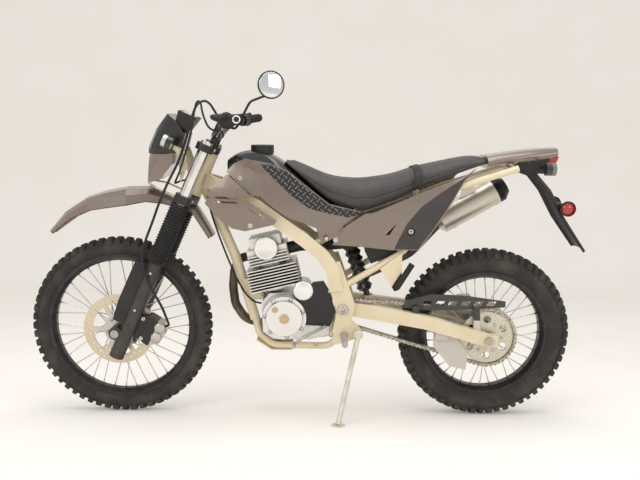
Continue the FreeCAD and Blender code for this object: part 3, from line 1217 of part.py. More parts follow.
def seat():
    wires = [plane_section(WHEELBASE * along, SEAT_HALF_WIDTH * width, TANK_HEIGHT * low, TANK_HEIGHT * high,
                           SEAT_SECTION) for along, low, high, width in SEAT_STATIONS]
    return Part.makeLoft(wires, True, True)


# Tail: painted rear fender with the lamp at its end, black mudguard below.
TAIL_SECTION = [(-0.62, 0.02), (-0.92, 0.20), (-1.0, 0.45), (-0.86, 0.80), (-0.45, 0.97), (0.0, 1.0), (0.45, 0.97),
                (0.86, 0.80), (1.0, 0.45), (0.92, 0.20), (0.62, 0.02), (0.30, 0.02), (0.0, 0.02), (-0.30, 0.02)]
TAIL_STATIONS = [(0.4803, 0.945, 0.990, 1.0), (0.560, 0.963, 1.008, 0.86), (0.630, 0.972, 1.018, 0.72),
                 (0.668, 0.985, 1.020, 0.60)]
TAIL_HALF_WIDTH = 88.0
LAMP_SHARES = [(0.6455, 0.980), (0.6455, 0.946), (0.660, 0.950), (0.672, 0.990)]
TAIL_LAMP_SIDE = 48.0
MUDGUARD_SHARES = [(0.580, 0.946), (0.620, 0.930), (0.660, 0.870), (0.700, 0.770), (0.758, 0.652)]
MUDGUARD_HALF = [60.0, 60.0, 66.0, 70.0, 68.0]
MUDGUARD_DROP = [14.0, 18.0, 20.0, 18.0, 12.0]
TAIL_BLOCK_SHARES = [(0.570, 0.940), (0.570, 0.968), (0.645, 0.980), (0.645, 0.928), (0.610, 0.928)]
TAIL_BLOCK_HALF = 56.0


def tail_fender():
    wires = [smooth_section(WHEELBASE * along, TAIL_HALF_WIDTH * width, TANK_HEIGHT * low, TANK_HEIGHT * high,
                            TAIL_SECTION) for along, low, high, width in TAIL_STATIONS]
    return Part.makeLoft(wires, True, False)


def tail_light():
    block = slab([spot(*place) for place in LAMP_SHARES], -TAIL_LAMP_SIDE, TAIL_LAMP_SIDE)
    return block.cut(tail_fender())


def rear_mudguard():
    strip = fender_strip([spot(*place) for place in MUDGUARD_SHARES], MUDGUARD_HALF, MUDGUARD_DROP)
    block = slab([spot(*place) for place in TAIL_BLOCK_SHARES], -TAIL_BLOCK_HALF, TAIL_BLOCK_HALF)
    return join(strip, block).cut(tail_fender())


def rear_indicators():
    return both(indicator(REAR_INDICATOR_PLACE - ACROSS * REAR_INDICATOR_SIDE, TAIL_BLOCK_HALF + FIT,
                          Vector(1, 0, 0)))


# Rear damper and its spring, drawn between its two eyes.
def rear_shock():
    run = (SHOCK_TOP - SHOCK_LOW).normalize()
    eye = ACROSS * SHOCK_EYE_HALF
    body = join(rod(SHOCK_LOW, SHOCK_TOP, SHOCK_EYE_RADIUS * SHOCK_ROD_SHARE),
                bellows(SHOCK_LOW + run * SHOCK_RADIUS, SHOCK_TOP - run * SHOCK_RADIUS, SHOCK_RADIUS,
                        SHOCK_RADIUS * SHOCK_WAIST_SHARE, SHOCK_COILS, GAITER_SIDES),
                rod(SHOCK_LOW - eye, SHOCK_LOW + eye, SHOCK_EYE_RADIUS),
                rod(SHOCK_TOP - eye, SHOCK_TOP + eye, SHOCK_EYE_RADIUS))
    return body.cut([rod(SHOCK_LOW - eye * 2, SHOCK_LOW + eye * 2, SHOCK_PIN_RADIUS + AXLE_GAP),
                     rod(SHOCK_TOP - eye * 2, SHOCK_TOP + eye * 2, SHOCK_PIN_RADIUS + AXLE_GAP)])


# Chain guard on the left arm.
CHAIN_GUARD_SHARES = [(0.268, 0.436), (0.278, 0.462), (0.345, 0.488), (0.440, 0.482), (0.545, 0.462),
                      (0.545, 0.440), (0.440, 0.430), (0.345, 0.426)]
CHAIN_GUARD_WALL = 4.0
GUARD_FEET_SHARES = [[(0.295, 0.400), (0.295, 0.445), (0.312, 0.445), (0.312, 0.400)],
                     [(0.462, 0.335), (0.458, 0.445), (0.474, 0.445), (0.480, 0.330)]]
GUARD_FOOT_WIDTH = 18.0
GUARD_SLOTS = 6
GUARD_SLOT_SHARES = (0.320, 0.0345, 0.444)
GUARD_SLOT_LENGTH = 30.0
GUARD_SLOT_HEIGHT = 18.0


def chain_guard():
    inner = CHAIN_SIDE + CHAIN_WIDTH / 2 + CHAIN_GAP
    plate = slab([spot(*place) for place in CHAIN_GUARD_SHARES], -inner - CHAIN_GUARD_WALL, -inner)
    feet = [slab([spot(*place) for place in shares], -inner - GUARD_FOOT_WIDTH, -inner) for shares in GUARD_FEET_SHARES]
    slots = []
    for index in range(GUARD_SLOTS):
        corner = spot(GUARD_SLOT_SHARES[0] + GUARD_SLOT_SHARES[1] * index, GUARD_SLOT_SHARES[2])
        corners = [corner, corner + Vector(GUARD_SLOT_LENGTH, 0, 0),
                   corner + Vector(GUARD_SLOT_LENGTH + GUARD_SLOT_HEIGHT / 2, 0, GUARD_SLOT_HEIGHT),
                   corner + Vector(GUARD_SLOT_HEIGHT / 2, 0, GUARD_SLOT_HEIGHT)]
        slots.append(slab(corners, -inner - CHAIN_GUARD_WALL * 2, -inner + CHAIN_GUARD_WALL))
    return join(plate.cut(slots), *feet).cut(swingarm())


# Foot controls, pegs and side stand.
PEG_LENGTH = 90.0
PEG_RADIUS = 11.0
PEG_PLACE = spot(0.112, 0.336)
PEG_MOUNT = 14.0


def rider_pegs():
    start = PEG_PLACE - ACROSS * (PLATE_HIGH_SIDE + FIT)
    stub = rod(start, start - ACROSS * PEG_MOUNT * 2, PEG_MOUNT)
    peg = rod(start - ACROSS * PEG_MOUNT, start - ACROSS * (PEG_MOUNT * 2 + PEG_LENGTH), PEG_RADIUS)
    return both(join(stub, peg))


STAND_PIVOT = spot(0.150, 0.345, -128.0)
STAND_FOOT_ALONG = 0.097
STAND_SPREAD = 236.0
STAND_RADIUS = 9.5
STAND_AXIS_TILT = 9.0
STAND_PIN_RADIUS = 6.0
STAND_AXIS = Vector(0, -math.cos(math.radians(STAND_AXIS_TILT)), math.sin(math.radians(STAND_AXIS_TILT)))
STAND_BARREL_HALF = 13.0
STAND_LUG_SHARES = [(0.112, 0.306), (0.132, 0.388), (0.146, 0.375), (0.160, 0.352), (0.160, 0.336), (0.146, 0.322)]


def stand_boss():
    """The frame's lug and pin that carry the side stand."""
    lug = slab([spot(*place) for place in STAND_LUG_SHARES], -PLATE_HIGH_SIDE, -PLATE_LOW_SIDE)
    inner = STAND_PIVOT - STAND_AXIS * (STAND_BARREL_HALF + FIT)
    boss = rod(inner - STAND_AXIS * STAND_BARREL_HALF, inner, STAND_RADIUS * 1.6)
    pin = rod(inner, STAND_PIVOT + STAND_AXIS * (STAND_BARREL_HALF + FIT), STAND_PIN_RADIUS)
    return join(lug, boss, pin)


def side_stand():
    lean = math.radians(LEAN)
    foot_height = (STAND_SPREAD * math.sin(lean) - REAR_SINK) / math.cos(lean)
    foot = Vector(WHEELBASE * STAND_FOOT_ALONG, -STAND_SPREAD, foot_height)
    down = Vector(0, -math.sin(lean), -math.cos(lean))
    sole = Part.makeCylinder(STAND_RADIUS * 2.6, STAND_RADIUS / 2, foot, -down)
    knee = STAND_PIVOT * 0.6 + foot * 0.4 + ACROSS * STAND_RADIUS
    leg = bent_tube([STAND_PIVOT, knee, foot - down * STAND_RADIUS * 0.6], STAND_RADIUS, STAND_RADIUS * 10)
    half = STAND_AXIS * STAND_BARREL_HALF
    barrel = rod(STAND_PIVOT - half, STAND_PIVOT + half, STAND_RADIUS * 1.8)
    bore = rod(STAND_PIVOT - half * 2, STAND_PIVOT + half * 2, STAND_PIN_RADIUS + AXLE_GAP)
    return join(leg, barrel, sole).cut(bore)


# Passenger pegs folded up on their brackets, under the lower rails.
PASSENGER_BRACKET_SHARES = [(0.205, 0.585), (0.262, 0.645), (0.262, 0.560), (0.256, 0.508), (0.244, 0.502)]
PASSENGER_PEG_LOW = spot(0.250, 0.520)
PASSENGER_PEG_TOP = spot(0.288, 0.606)
BRACKET_WALL = 6.0


def passenger_pegs():
    inner = RAIL_SIDE + RAIL_RADIUS * 1.5 + FIT
    bracket = slab([spot(*place) for place in PASSENGER_BRACKET_SHARES], -inner - BRACKET_WALL, -inner)
    side = ACROSS * (inner + BRACKET_WALL + PEG_RADIUS)
    peg = rod(PASSENGER_PEG_LOW - side, PASSENGER_PEG_TOP - side, PEG_RADIUS)
    hinge = rod(PASSENGER_PEG_LOW - ACROSS * inner, PASSENGER_PEG_LOW - side, PEG_RADIUS)
    return both(join(bracket, hinge, peg))


# Gear lever on the left and brake pedal on the right.
PEDAL_RADIUS = 6.0
GEAR_SHARES = [(0.060, 0.370, -0.60), (0.060, 0.370, -1.30), (0.010, 0.340, -1.50), (-0.020, 0.312, -1.50),
               (-0.020, 0.312, -1.95)]
BRAKE_SHARES = [(0.100, 0.318, 1.0), (0.100, 0.318, 1.25), (0.030, 0.300, 1.55), (-0.035, 0.312, 1.60),
                (-0.035, 0.312, 2.0)]


def foot_controls():
    pedals = []
    for shares, inner in ((GEAR_SHARES, -CASE_SIDE - FIT), (BRAKE_SHARES, PLATE_HIGH_SIDE + FIT)):
        points = [spot(along, up, PLATE_LOW_SIDE * side) for along, up, side in shares]
        points[0].y = inner
        pieces = [rod(start, end, PEDAL_RADIUS) for start, end in zip(points, points[1:])]
        pieces += [Part.makeSphere(PEDAL_RADIUS, point) for point in points[1:-1]]
        pedals.append(join(*pieces))
    return Part.makeCompound(pedals)


# Rear caliper above the right arm, on a bracket round the axle.
REAR_CALIPER_SHARES = [(0.420, 0.378), (0.420, 0.425), (0.440, 0.445), (0.472, 0.448), (0.482, 0.400),
                       (0.470, 0.373)]
REAR_BRACKET_SHARES = [(0.428, 0.392), (0.470, 0.400), (0.511, 0.335), (0.511, 0.308), (0.489, 0.308)]
REAR_CALIPER_IN = 58.0
REAR_CALIPER_OUT = 91.5
REAR_BRACKET_IN = 84.0


def rear_brake():
    block = slab([spot(*place) for place in REAR_CALIPER_SHARES], REAR_CALIPER_IN, REAR_CALIPER_OUT)
    bracket = slab([spot(*place) for place in REAR_BRACKET_SHARES], REAR_BRACKET_IN, REAR_CALIPER_OUT)
    bore = rod(REAR_AXLE, REAR_AXLE + ACROSS * REAR_AXLE_HALF, AXLE_RADIUS + FIT)
    block = slotted_caliper(block, REAR_AXLE, REAR_DISC_SIDE, REAR_DISC_RADIUS)
    return join(block, bracket).cut(bore)


# Skid plate under the front of the cradle.
SKID_WALL = 4.0
SKID_HALF = 78.0
SKID_END_SHARE = 0.35


def skid_plate():
    front, corner, back = [spot(along, up) for along, up, share in CRADLE_SHARES[1:4]]
    back = corner + (back - corner) * SKID_END_SHARE
    fall = (corner - front).normalize()
    flat = (back - corner).normalize()
    out_front = Vector(fall.z, 0, -fall.x)
    out_flat = Vector(flat.z, 0, -flat.x)
    bisector = (out_front + out_flat).normalize()
    stretch = 1 / bisector.dot(out_flat)
    near = CRADLE_RADIUS + FIT
    far = near + SKID_WALL
    outline = [front + out_front * near, corner + bisector * near * stretch, back + out_flat * near,
               back + out_flat * far, corner + bisector * far * stretch, front + out_front * far]
    return slab(outline, -SKID_HALF, SKID_HALF)


# Cover over the front sprocket, against the stator cover.
SPROCKET_COVER_SHARES = [(-0.005, 0.372), (-0.005, 0.470), (0.028, 0.530), (0.056, 0.535), (0.0715, 0.500),
                         (0.0890, 0.420), (0.0745, 0.366)]
SPROCKET_COVER_IN = 84.0
SPROCKET_COVER_OUT = 100.0


def sprocket_cover():
    plate = slab([spot(*place) for place in SPROCKET_COVER_SHARES], -SPROCKET_COVER_OUT, -SPROCKET_COVER_IN)
    shaft = rod(spot(*GEAR_SHARES[0][:2]) - ACROSS * PLATE_HIGH_SIDE * 2, spot(*GEAR_SHARES[0][:2]),
                PEDAL_RADIUS + FIT)
    return plate.cut([rod(STATOR_CENTRE - ACROSS * COVER_SIDE, STATOR_CENTRE, STATOR_RADIUS + FIT),
                      rod(STARTER_CENTRE - ACROSS * COVER_SIDE, STARTER_CENTRE, STARTER_RADIUS + FIT), shaft])


# Pale guide that keeps the lower run of the chain in line, hung from the left arm.
GUIDE_SHARES = [(0.355, 0.350), (0.355, 0.290), (0.400, 0.214), (0.445, 0.200), (0.450, 0.260), (0.420, 0.320)]
GUIDE_IN = 82.5
GUIDE_OUT = 88.0
GUIDE_FOOT_SHARES = [(0.358, 0.380), (0.358, 0.318), (0.392, 0.318), (0.392, 0.380)]
GUIDE_FOOT_OUT = 104.0


def chain_guide():
    plate = slab([spot(*place) for place in GUIDE_SHARES], -GUIDE_OUT, -GUIDE_IN)
    foot = slab([spot(*place) for place in GUIDE_FOOT_SHARES], -GUIDE_FOOT_OUT, -GUIDE_IN)
    return join(plate, foot).cut(swingarm())


# Wire guide that holds the hoses in front of the lower clamp.
WIRE_RADIUS = 3.5
WIRE_POINTS_SHARES = [(0.552, 0.120, 1.0), (0.548, 0.160, 0.5), (0.548, 0.160, -0.5), (0.552, 0.120, -1.0)]


def hose_guide():
    points = [steer(TANK_HEIGHT * up, TANK_HEIGHT * ahead, LEG_SIDE * side)
              for up, ahead, side in WIRE_POINTS_SHARES]
    collar_front = LEG_AHEAD + CLAMP_COLLAR + FIT
    points.insert(0, steer((LOWER_CLAMP_LOW + LOWER_CLAMP_TOP) / 2, collar_front, LEG_SIDE))
    points.append(steer((LOWER_CLAMP_LOW + LOWER_CLAMP_TOP) / 2, collar_front, -LEG_SIDE))
    return bent_tube(points, WIRE_RADIUS, WIRE_RADIUS * 6)


def foot_pegs():
    return Part.makeCompound(rider_pegs().Solids + passenger_pegs().Solids)


def chain_guards():
    return Part.makeCompound([chain_guard(), chain_guide()])


def front_stays():
    return Part.makeCompound(lamp_stays().Solids + [hose_guide()])


def rear_axles():
    arm_side = ARM_SIDES[-1] + SWINGARM_WIDTH / 2 + FIT
    return Part.makeCompound([axle(REAR_AXLE, REAR_AXLE_HALF, arm_side), swingarm_pivot()])


# Brake hose from the right perch over the bars, down the left leg and into the caliper; the clutch cable's loop from
# the left perch to the steering head; and the same cable's run down beside the downtube to the crankcase.
HOSE_RADIUS = 4.5
CABLE_RADIUS = 3.5
HOSE_ROUTE = [(854.6, -26.8, 240), (834, -22, 242), (830, 16, 220), (858, 58, 184), (890, 90, 126), (896, 104, 58), (880, 112, -8),
              (856, 106, -66), (806, 94, -98), (738, 84, -109), (664, 80, -105), (590, 86, -107), (514, 88, -104),
              (436, 82, -108), (362, 80, -110), (298, 66, -124), (246, 24, -134), (203, -26, -135), (166, -70, -127),
              (128, -98, -108), (98, -116, -84), (84, -104.6, -66)]
CLUTCH_ROUTE = [(854.8, -26.8, -240), (834, -22, -242), (832, 14, -226), (864, 52, -206), (899, 80, -174), (892, 98, -140),
                (846, 92, -124), (784, 76, -123), (712, 68, -118), (640, 62, -112), (594, 66, -88), (588, 68, -54),
                (598, 60, -26), (608, 44, -10)]
FRAME_ROUTE = [(-350, -31, 838), (-337, -33, 775), (-309, -36, 690), (-276, -33, 600), (-246, -36, 530),
               (-214, -33, 470), (-184, -35, 442), (-154.6, -34, 434)]


def brake_hose():
    return cord([steer(*place) for place in HOSE_ROUTE], HOSE_RADIUS)


def steering_cables():
    return cord([steer(*place) for place in CLUTCH_ROUTE], CABLE_RADIUS)


def frame_cables():
    return cord([Vector(*place) for place in FRAME_ROUTE], CABLE_RADIUS)


NODES = {
    "frame": frame,
    "swingarm": swingarm,
    "engine_case": engine_case,
    "engine_cylinder": engine_cylinder,
    "engine_head": engine_head,
    "exhaust_pipe": exhaust_pipe,
    "muffler": muffler,
    "intake": intake,
    "airbox": airbox,
    "fuel_tank": fuel_tank,
    "fuel_cap": fuel_cap,
    "tank_covers": tank_covers,
    "shrouds": shrouds,
    "side_covers": side_covers,
    "seat": seat,
    "tail_fender": tail_fender,
    "rear_mudguard": rear_mudguard,
    "tail_light": tail_light,
    "rear_indicators": rear_indicators,
    "rear_shock": rear_shock,
    "rear_axles": rear_axles,
    "drive_chain": drive_chain,
    "chain_guards": chain_guards,
    "sprocket_cover": sprocket_cover,
    "skid_plate": skid_plate,
    "foot_pegs": foot_pegs,
    "foot_controls": foot_controls,
    "rear_brake": rear_brake,
    "triple_clamps": triple_clamps,
    "fork_tubes": lambda: fork_pair(one_tube),
    "fork_gaiters": lambda: fork_pair(one_gaiter),
    "fork_sliders": lambda: fork_pair(one_slider),
    "fork_guards": fork_guards,
    "front_axle": lambda: axle(FRONT_AXLE, FRONT_AXLE_HALF, LEG_SIDE + AXLE_BOSS_HALF + FIT),
    "handlebar": handlebar,
    "grips": grips,
    "hand_controls": hand_controls,
    "mirror": mirror,
    "headlight": headlight,
    "headlight_cowl": headlight_cowl,
    "front_stays": front_stays,
    "instrument": instrument,
    "front_fender": front_fender,
    "front_indicators": front_indicators,
    "front_brake": front_brake,
    "front_tyre": lambda: tyre(FRONT_AXLE, FRONT_TYRE_RADIUS, FRONT_RIM_RADIUS, FRONT_TYRE_WIDTH),
    "front_rim": lambda: rim(FRONT_AXLE, FRONT_RIM_RADIUS, FRONT_TYRE_WIDTH * TYRE_BEAD_SHARE),
    "front_hub": lambda: hub(FRONT_AXLE, 30.0, FRONT_RIM_RADIUS, 64.0),
    "front_disc": lambda: disc(FRONT_AXLE, FRONT_DISC_RADIUS, FRONT_DISC_SIDE),
    "rear_tyre": lambda: tyre(REAR_AXLE, REAR_TYRE_RADIUS, REAR_RIM_RADIUS, REAR_TYRE_WIDTH),
    "rear_rim": lambda: rim(REAR_AXLE, REAR_RIM_RADIUS, REAR_TYRE_WIDTH * TYRE_BEAD_SHARE),
    "rear_hub": lambda: hub(REAR_AXLE, 34.0, REAR_RIM_RADIUS, 80.0),
    "rear_sprocket": rear_sprocket,
    "rear_disc": lambda: disc(REAR_AXLE, REAR_DISC_RADIUS, REAR_DISC_SIDE),
    "brake_hose": brake_hose,
    "steering_cables": steering_cables,
    "frame_cables": frame_cables,
    "side_stand": side_stand,
}


def parked(shapes):
    """Leans everything onto the side stand and sets the middle of its box's floor at the origin."""
    for shape in shapes.values():
        shape.rotate(Vector(0, 0, 0), Vector(1, 0, 0), LEAN)
    box = FreeCAD.BoundBox()
    for shape in shapes.values():
        box.add(shape.optimalBoundingBox(False, False))
    shift = Vector(-(box.XMin + box.XMax) / 2, -(box.YMin + box.YMax) / 2, -box.ZMin)
    for shape in shapes.values():
        shape.translate(shift)
    return shift


def main():
    os.makedirs("parts", exist_ok=True)
    shapes = {name: make() for name, make in NODES.items()}
    parked(shapes)
    for name, shape in shapes.items():
        shape.exportStep("parts/" + name + ".step")


main()
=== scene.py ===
import json
import math
import bmesh
import bpy
import numpy as np
from mathutils import Euler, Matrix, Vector


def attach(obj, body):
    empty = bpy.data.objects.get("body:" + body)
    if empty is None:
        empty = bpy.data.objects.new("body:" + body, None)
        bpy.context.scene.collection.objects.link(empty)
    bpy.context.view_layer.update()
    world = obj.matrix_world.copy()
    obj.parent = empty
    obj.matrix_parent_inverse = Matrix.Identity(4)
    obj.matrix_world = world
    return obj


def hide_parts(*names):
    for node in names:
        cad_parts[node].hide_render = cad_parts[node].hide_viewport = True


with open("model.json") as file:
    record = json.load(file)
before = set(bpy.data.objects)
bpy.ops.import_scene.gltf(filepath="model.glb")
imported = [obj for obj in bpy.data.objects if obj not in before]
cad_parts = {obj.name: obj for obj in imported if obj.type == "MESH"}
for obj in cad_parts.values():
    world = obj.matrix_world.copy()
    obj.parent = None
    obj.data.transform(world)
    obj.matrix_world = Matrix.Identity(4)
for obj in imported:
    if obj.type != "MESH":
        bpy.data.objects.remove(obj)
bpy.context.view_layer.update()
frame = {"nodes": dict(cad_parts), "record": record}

nodes = frame["nodes"]

# Studio: a pale floor and wall of one sheet, seen from the motorcycle's left side at tank height.
# The camera stands level with the photograph's, a little rolled, and three soft lamps hang round it.
CAMERA_PLACE = (0.0551, -2.6069, 0.6614)
CAMERA_ROLL = math.radians(-0.48)
CAMERA_LENS = 40.5
SWEEP_RADIUS = 2.0
SWEEP_BACK = 8.5
SWEEP_HALF = 16.0
SWEEP_FRONT = -12.0
SWEEP_TOP = 9.0
PAPER_GLOW = 0.16
PAPER_LIGHT = (1.0, 0.965, 0.92, 1)
AIR_LIGHT = (1.0, 0.985, 0.96, 1)
AIR_STRENGTH = 0.75


def placed(name, data):
    """A new object with the data, at the origin."""
    thing = bpy.data.objects.new(name, data)
    bpy.context.scene.collection.objects.link(thing)
    return thing


camera = placed("camera", bpy.data.cameras.new("camera"))
camera.data.lens = CAMERA_LENS
camera.data.sensor_width = 36
camera.location = CAMERA_PLACE
camera.rotation_euler = Euler((math.pi / 2, CAMERA_ROLL, 0))
bpy.context.scene.camera = camera
bpy.context.scene.view_settings.view_transform = "Standard"


def shell(name, points, faces, material, smooth=True):
    """A piece from points and from faces, each face a row of four numbers of points."""
    mesh = bpy.data.meshes.new(name)
    mesh.from_pydata(points.reshape(-1, 3).tolist(), [], faces.reshape(-1, 4).tolist())
    mesh.polygons.foreach_set("use_smooth", [smooth] * len(mesh.polygons))
    mesh.materials.append(material)
    return placed(name, mesh)


def sheets(name, points, material):
    """One piece from grids of points, sheets by rows by columns by xyz: each cell between neighbours is a face."""
    count, rows, columns = points.shape[:3]
    index = np.arange(count * rows * columns).reshape(count, rows, columns)
    cells = np.stack([index[:, :-1, :-1], index[:, :-1, 1:], index[:, 1:, 1:], index[:, 1:, :-1]], axis=-1)
    return shell(name, points, cells, material)


def finish(name, colour, roughness, metallic=0.0, coat=0.0):
    """A new material with its shader's own values set, ready for the nodes that vary it."""
    material = bpy.data.materials.new(name)
    material.use_nodes = True
    shader = material.node_tree.nodes["Principled BSDF"]
    shader.inputs["Base Color"].default_value = (*colour, 1)
    shader.inputs["Roughness"].default_value = roughness
    shader.inputs["Metallic"].default_value = metallic
    shader.inputs["Coat Weight"].default_value = coat
    shader.inputs["Coat Roughness"].default_value = 0.08
    return material


def node(material, kind, **values):
    """A node of the material's tree with its inputs and settings given by name."""
    made = material.node_tree.nodes.new("ShaderNode" + kind)
    for key, value in values.items():
        if key in made.inputs:
            made.inputs[key].default_value = value
        else:
            setattr(made, key, value)
    return made


def wire(material, source, target):
    """Links an output of the material's tree to an input."""
    material.node_tree.links.new(source, target)


def noise(material, scale, detail=3.0, stretch=(1, 1, 1)):
    """Cloudy noise on Object coordinates, stretched along the axes."""
    mapping = node(material, "Mapping", Scale=stretch)
    texture = node(material, "TexNoise", Scale=scale, Detail=detail)
    wire(material, node(material, "TexCoord").outputs["Object"], mapping.inputs["Vector"])
    wire(material, mapping.outputs["Vector"], texture.inputs["Vector"])
    return texture.outputs["Fac"]


def vary(material, fac, socket, low, high, start=0.35, end=0.65):
    """Moves one socket of the shader between two values or colours as fac goes from start to end."""
    ramp = node(material, "ValToRGB")
    for element, position, value in zip(ramp.color_ramp.elements, (start, end), (low, high)):
        element.position = position
        element.color = (*value, 1) if isinstance(value, tuple) else (value, value, value, 1)
    wire(material, fac, ramp.inputs["Fac"])
    shader = material.node_tree.nodes["Principled BSDF"]
    wire(material, ramp.outputs["Color"], shader.inputs[socket])
    return ramp


def bump(material, fac, height, strength=0.4):
    """Raises the surface by fac, its height in metres, on top of any bump already there."""
    shader = material.node_tree.nodes["Principled BSDF"]
    raised = node(material, "Bump", Distance=height, Strength=strength)
    wire(material, fac, raised.inputs["Height"])
    if shader.inputs["Normal"].links:
        wire(material, shader.inputs["Normal"].links[0].from_socket, raised.inputs["Normal"])
    wire(material, raised.outputs["Normal"], shader.inputs["Normal"])


def calc(material, operation, *values):
    """One arithmetic step of the material on numbers or outputs."""
    step = node(material, "Math", operation=operation)
    for socket, value in zip(step.inputs, values):
        if isinstance(value, (int, float)):
            socket.default_value = value
        else:
            wire(material, value, socket)
    return step.outputs["Value"]


paper = finish("studio_paper", (0.86, 0.83, 0.79), 0.9)
vary(paper, noise(paper, 1.5), "Base Color", (0.85, 0.815, 0.77), (0.87, 0.84, 0.80))
seen = node(paper, "LightPath").outputs
lit = calc(paper, "MAXIMUM", seen["Is Camera Ray"], seen["Is Glossy Ray"])
lit = calc(paper, "MAXIMUM", lit, seen["Is Transmission Ray"])
paper_shader = paper.node_tree.nodes["Principled BSDF"]
paper_shader.inputs["Emission Color"].default_value = PAPER_LIGHT
wire(paper, calc(paper, "MULTIPLY", lit, PAPER_GLOW), paper_shader.inputs["Emission Strength"])
turn = np.linspace(0, np.pi / 2, 24)
along = np.concatenate([[SWEEP_FRONT], SWEEP_BACK - SWEEP_RADIUS + SWEEP_RADIUS * np.sin(turn), [SWEEP_BACK]])
height = np.concatenate([[0], SWEEP_RADIUS * (1 - np.cos(turn)), [SWEEP_TOP]])
across, along = np.meshgrid(np.linspace(-SWEEP_HALF, SWEEP_HALF, 12), along, indexing="ij")
sweep = np.stack([across, along, np.broadcast_to(height, along.shape)], axis=-1)
sheets("floor", sweep[None], paper)

world = bpy.data.worlds.new("studio_air")
bpy.context.scene.world = world
world.use_nodes = True
air = world.node_tree.nodes["Background"].inputs
air["Color"].default_value = AIR_LIGHT
air["Strength"].default_value = AIR_STRENGTH


def softbox(name, place, aim, size, watts):
    """A square lamp that faces a point."""
    lamp = bpy.data.lights.new(name, "AREA")
    lamp.size = size
    lamp.energy = watts
    holder = placed(name, lamp)
    holder.location = place
    holder.rotation_mode = "QUATERNION"
    holder.rotation_quaternion = (Vector(aim) - Vector(place)).to_track_quat("-Z", "Y")


softbox("lamp_above", (0.2, -0.6, 3.4), (0, 0, 0.4), 2.6, 42)
softbox("lamp_left", (-2.6, -3.2, 2.2), (0, 0, 0.5), 1.8, 34)
softbox("lamp_right", (2.8, -2.8, 1.8), (0, 0, 0.5), 1.8, 22)

# Frame, swingarm and skid plate: welded steel tube and box section in cream paint under clear lacquer.
# The paint is a little darker where it pooled, has a fine orange peel, and its gloss is worn in places.
CREAM = (0.78, 0.68, 0.475)
CREAM_SHADE = (0.70, 0.60, 0.40)
PEEL_SCALE = 900
LEAN = math.radians(10)
REAR_AXLE = (0.6825, 0.0, 0.322)
joints = frame["record"]["behaviour"]["joints"]
rear_joint = next(joint["pos_m"] for joint in joints if joint["name"] == "rear_wheel_spin")


def tilt(vectors):
    """Directions of the upright motorcycle, turned about its length as far as it leans on its stand."""
    v = np.asarray(vectors, dtype=float)
    y, z = v[..., 1], v[..., 2]
    return np.stack([v[..., 0], y * math.cos(LEAN) - z * math.sin(LEAN), y * math.sin(LEAN) + z * math.cos(LEAN)],
                    axis=-1)


def parked(places):
    """Places on the upright motorcycle, leaned and then moved so that its rear axle meets the rear wheel's joint."""
    return tilt(places) + rear_joint - tilt(REAR_AXLE)


def dress(material, *names):
    """Gives the material to every slot of the named nodes."""
    for name in names:
        for slot in nodes[name].material_slots:
            slot.material = material


def weathered(name, colour, roughness, tones, gloss, **values):
    """A finish whose colour and roughness drift between two ends, each in clouds of its own scale and detail."""
    material = finish(name, colour, roughness, **values)
    for socket, (cloud, *ends) in (("Base Color", tones), ("Roughness", gloss)):
        vary(material, noise(material, *cloud), socket, *ends)
    return material


def grain(material, height, *cloud, strength=0.4):
    """Fine relief of that height, in clouds of their own scale and detail."""
    bump(material, noise(material, *cloud), height, strength)


cream = weathered("cream_paint", CREAM, 0.34, ((9, 4), CREAM_SHADE, CREAM), ((60, 5), 0.26, 0.46), coat=0.5)
grain(cream, 0.0002, PEEL_SCALE, 1, strength=0.25)
dress(cream, "frame", "swingarm", "skid_plate")

# Bolts and nuts of the chassis: zinc-plated button heads with a socket, and nuts with a flange.
# Each is the same small solid of revolution, set square to the surface that it holds.
ZINC = (0.62, 0.60, 0.56)
ZINC_SHADE = (0.50, 0.48, 0.44)
LEFT = (0, -1, 0)
RIGHT = (0, 1, 0)
BOLT_RADIUS = 0.0058
BOLT_HEIGHT = 0.0036
BOLT_SHARES = [(0.0, 0.35), (0.36, 0.35), (0.44, 0.98), (0.74, 0.9), (1.0, 0.45), (1.0, -0.5), (0.0, -0.5)]
NUT_SHARES = [(0.0, 1.5), (0.45, 1.5), (0.5, 1.25), (0.86, 1.25), (0.9, 1.1), (0.92, 0.35), (1.35, 0.3), (1.35, -0.5),
              (0.0, -0.5)]

zinc = weathered("zinc_plate", ZINC, 0.3, ((40, 3), ZINC_SHADE, ZINC), ((160, 3), 0.2, 0.42), metallic=0.9)


def closed(piece):
    """Welds a piece's seams and poles and turns its faces outwards."""
    work = bmesh.new()
    work.from_mesh(piece.data)
    bmesh.ops.remove_doubles(work, verts=work.verts, dist=1e-6)
    bmesh.ops.dissolve_degenerate(work, edges=work.edges, dist=1e-7)
    bmesh.ops.recalc_face_normals(work, faces=work.faces)
    work.to_mesh(piece.data)
    work.free()
    return piece


def turned(name, profile, places, directions, material, body, sides=20):
    """At each place, the profile's radius carried once round the direction while its height runs along it."""
    places = np.atleast_2d(parked(places))
    along = np.broadcast_to(tilt(directions), places.shape)
    along = along / np.linalg.norm(along, axis=1, keepdims=True)
    helper = np.where(np.abs(along[:, 2:]) < 0.9, [[0.0, 0.0, 1.0]], [[1.0, 0.0, 0.0]])
    side = np.cross(along, helper)
    side /= np.linalg.norm(side, axis=1, keepdims=True)
    other = np.cross(along, side)
    radius, rise = np.array(profile, dtype=float).T
    angle = np.linspace(0, 2 * np.pi, sides + 1)
    ring = side[:, None] * np.cos(angle)[None, :, None] + other[:, None] * np.sin(angle)[None, :, None]
    points = (places[:, None, None] + along[:, None, None] * rise[None, :, None, None]
              + ring[:, None] * radius[None, :, None, None])
    piece = closed(sheets(name, points, material))
    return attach(piece, body)


def scaled(shares, radius, height):
    """A profile whose radii are shares of one radius and whose rises are shares of one height."""
    return [(share * radius, rise * height) for share, rise in shares]


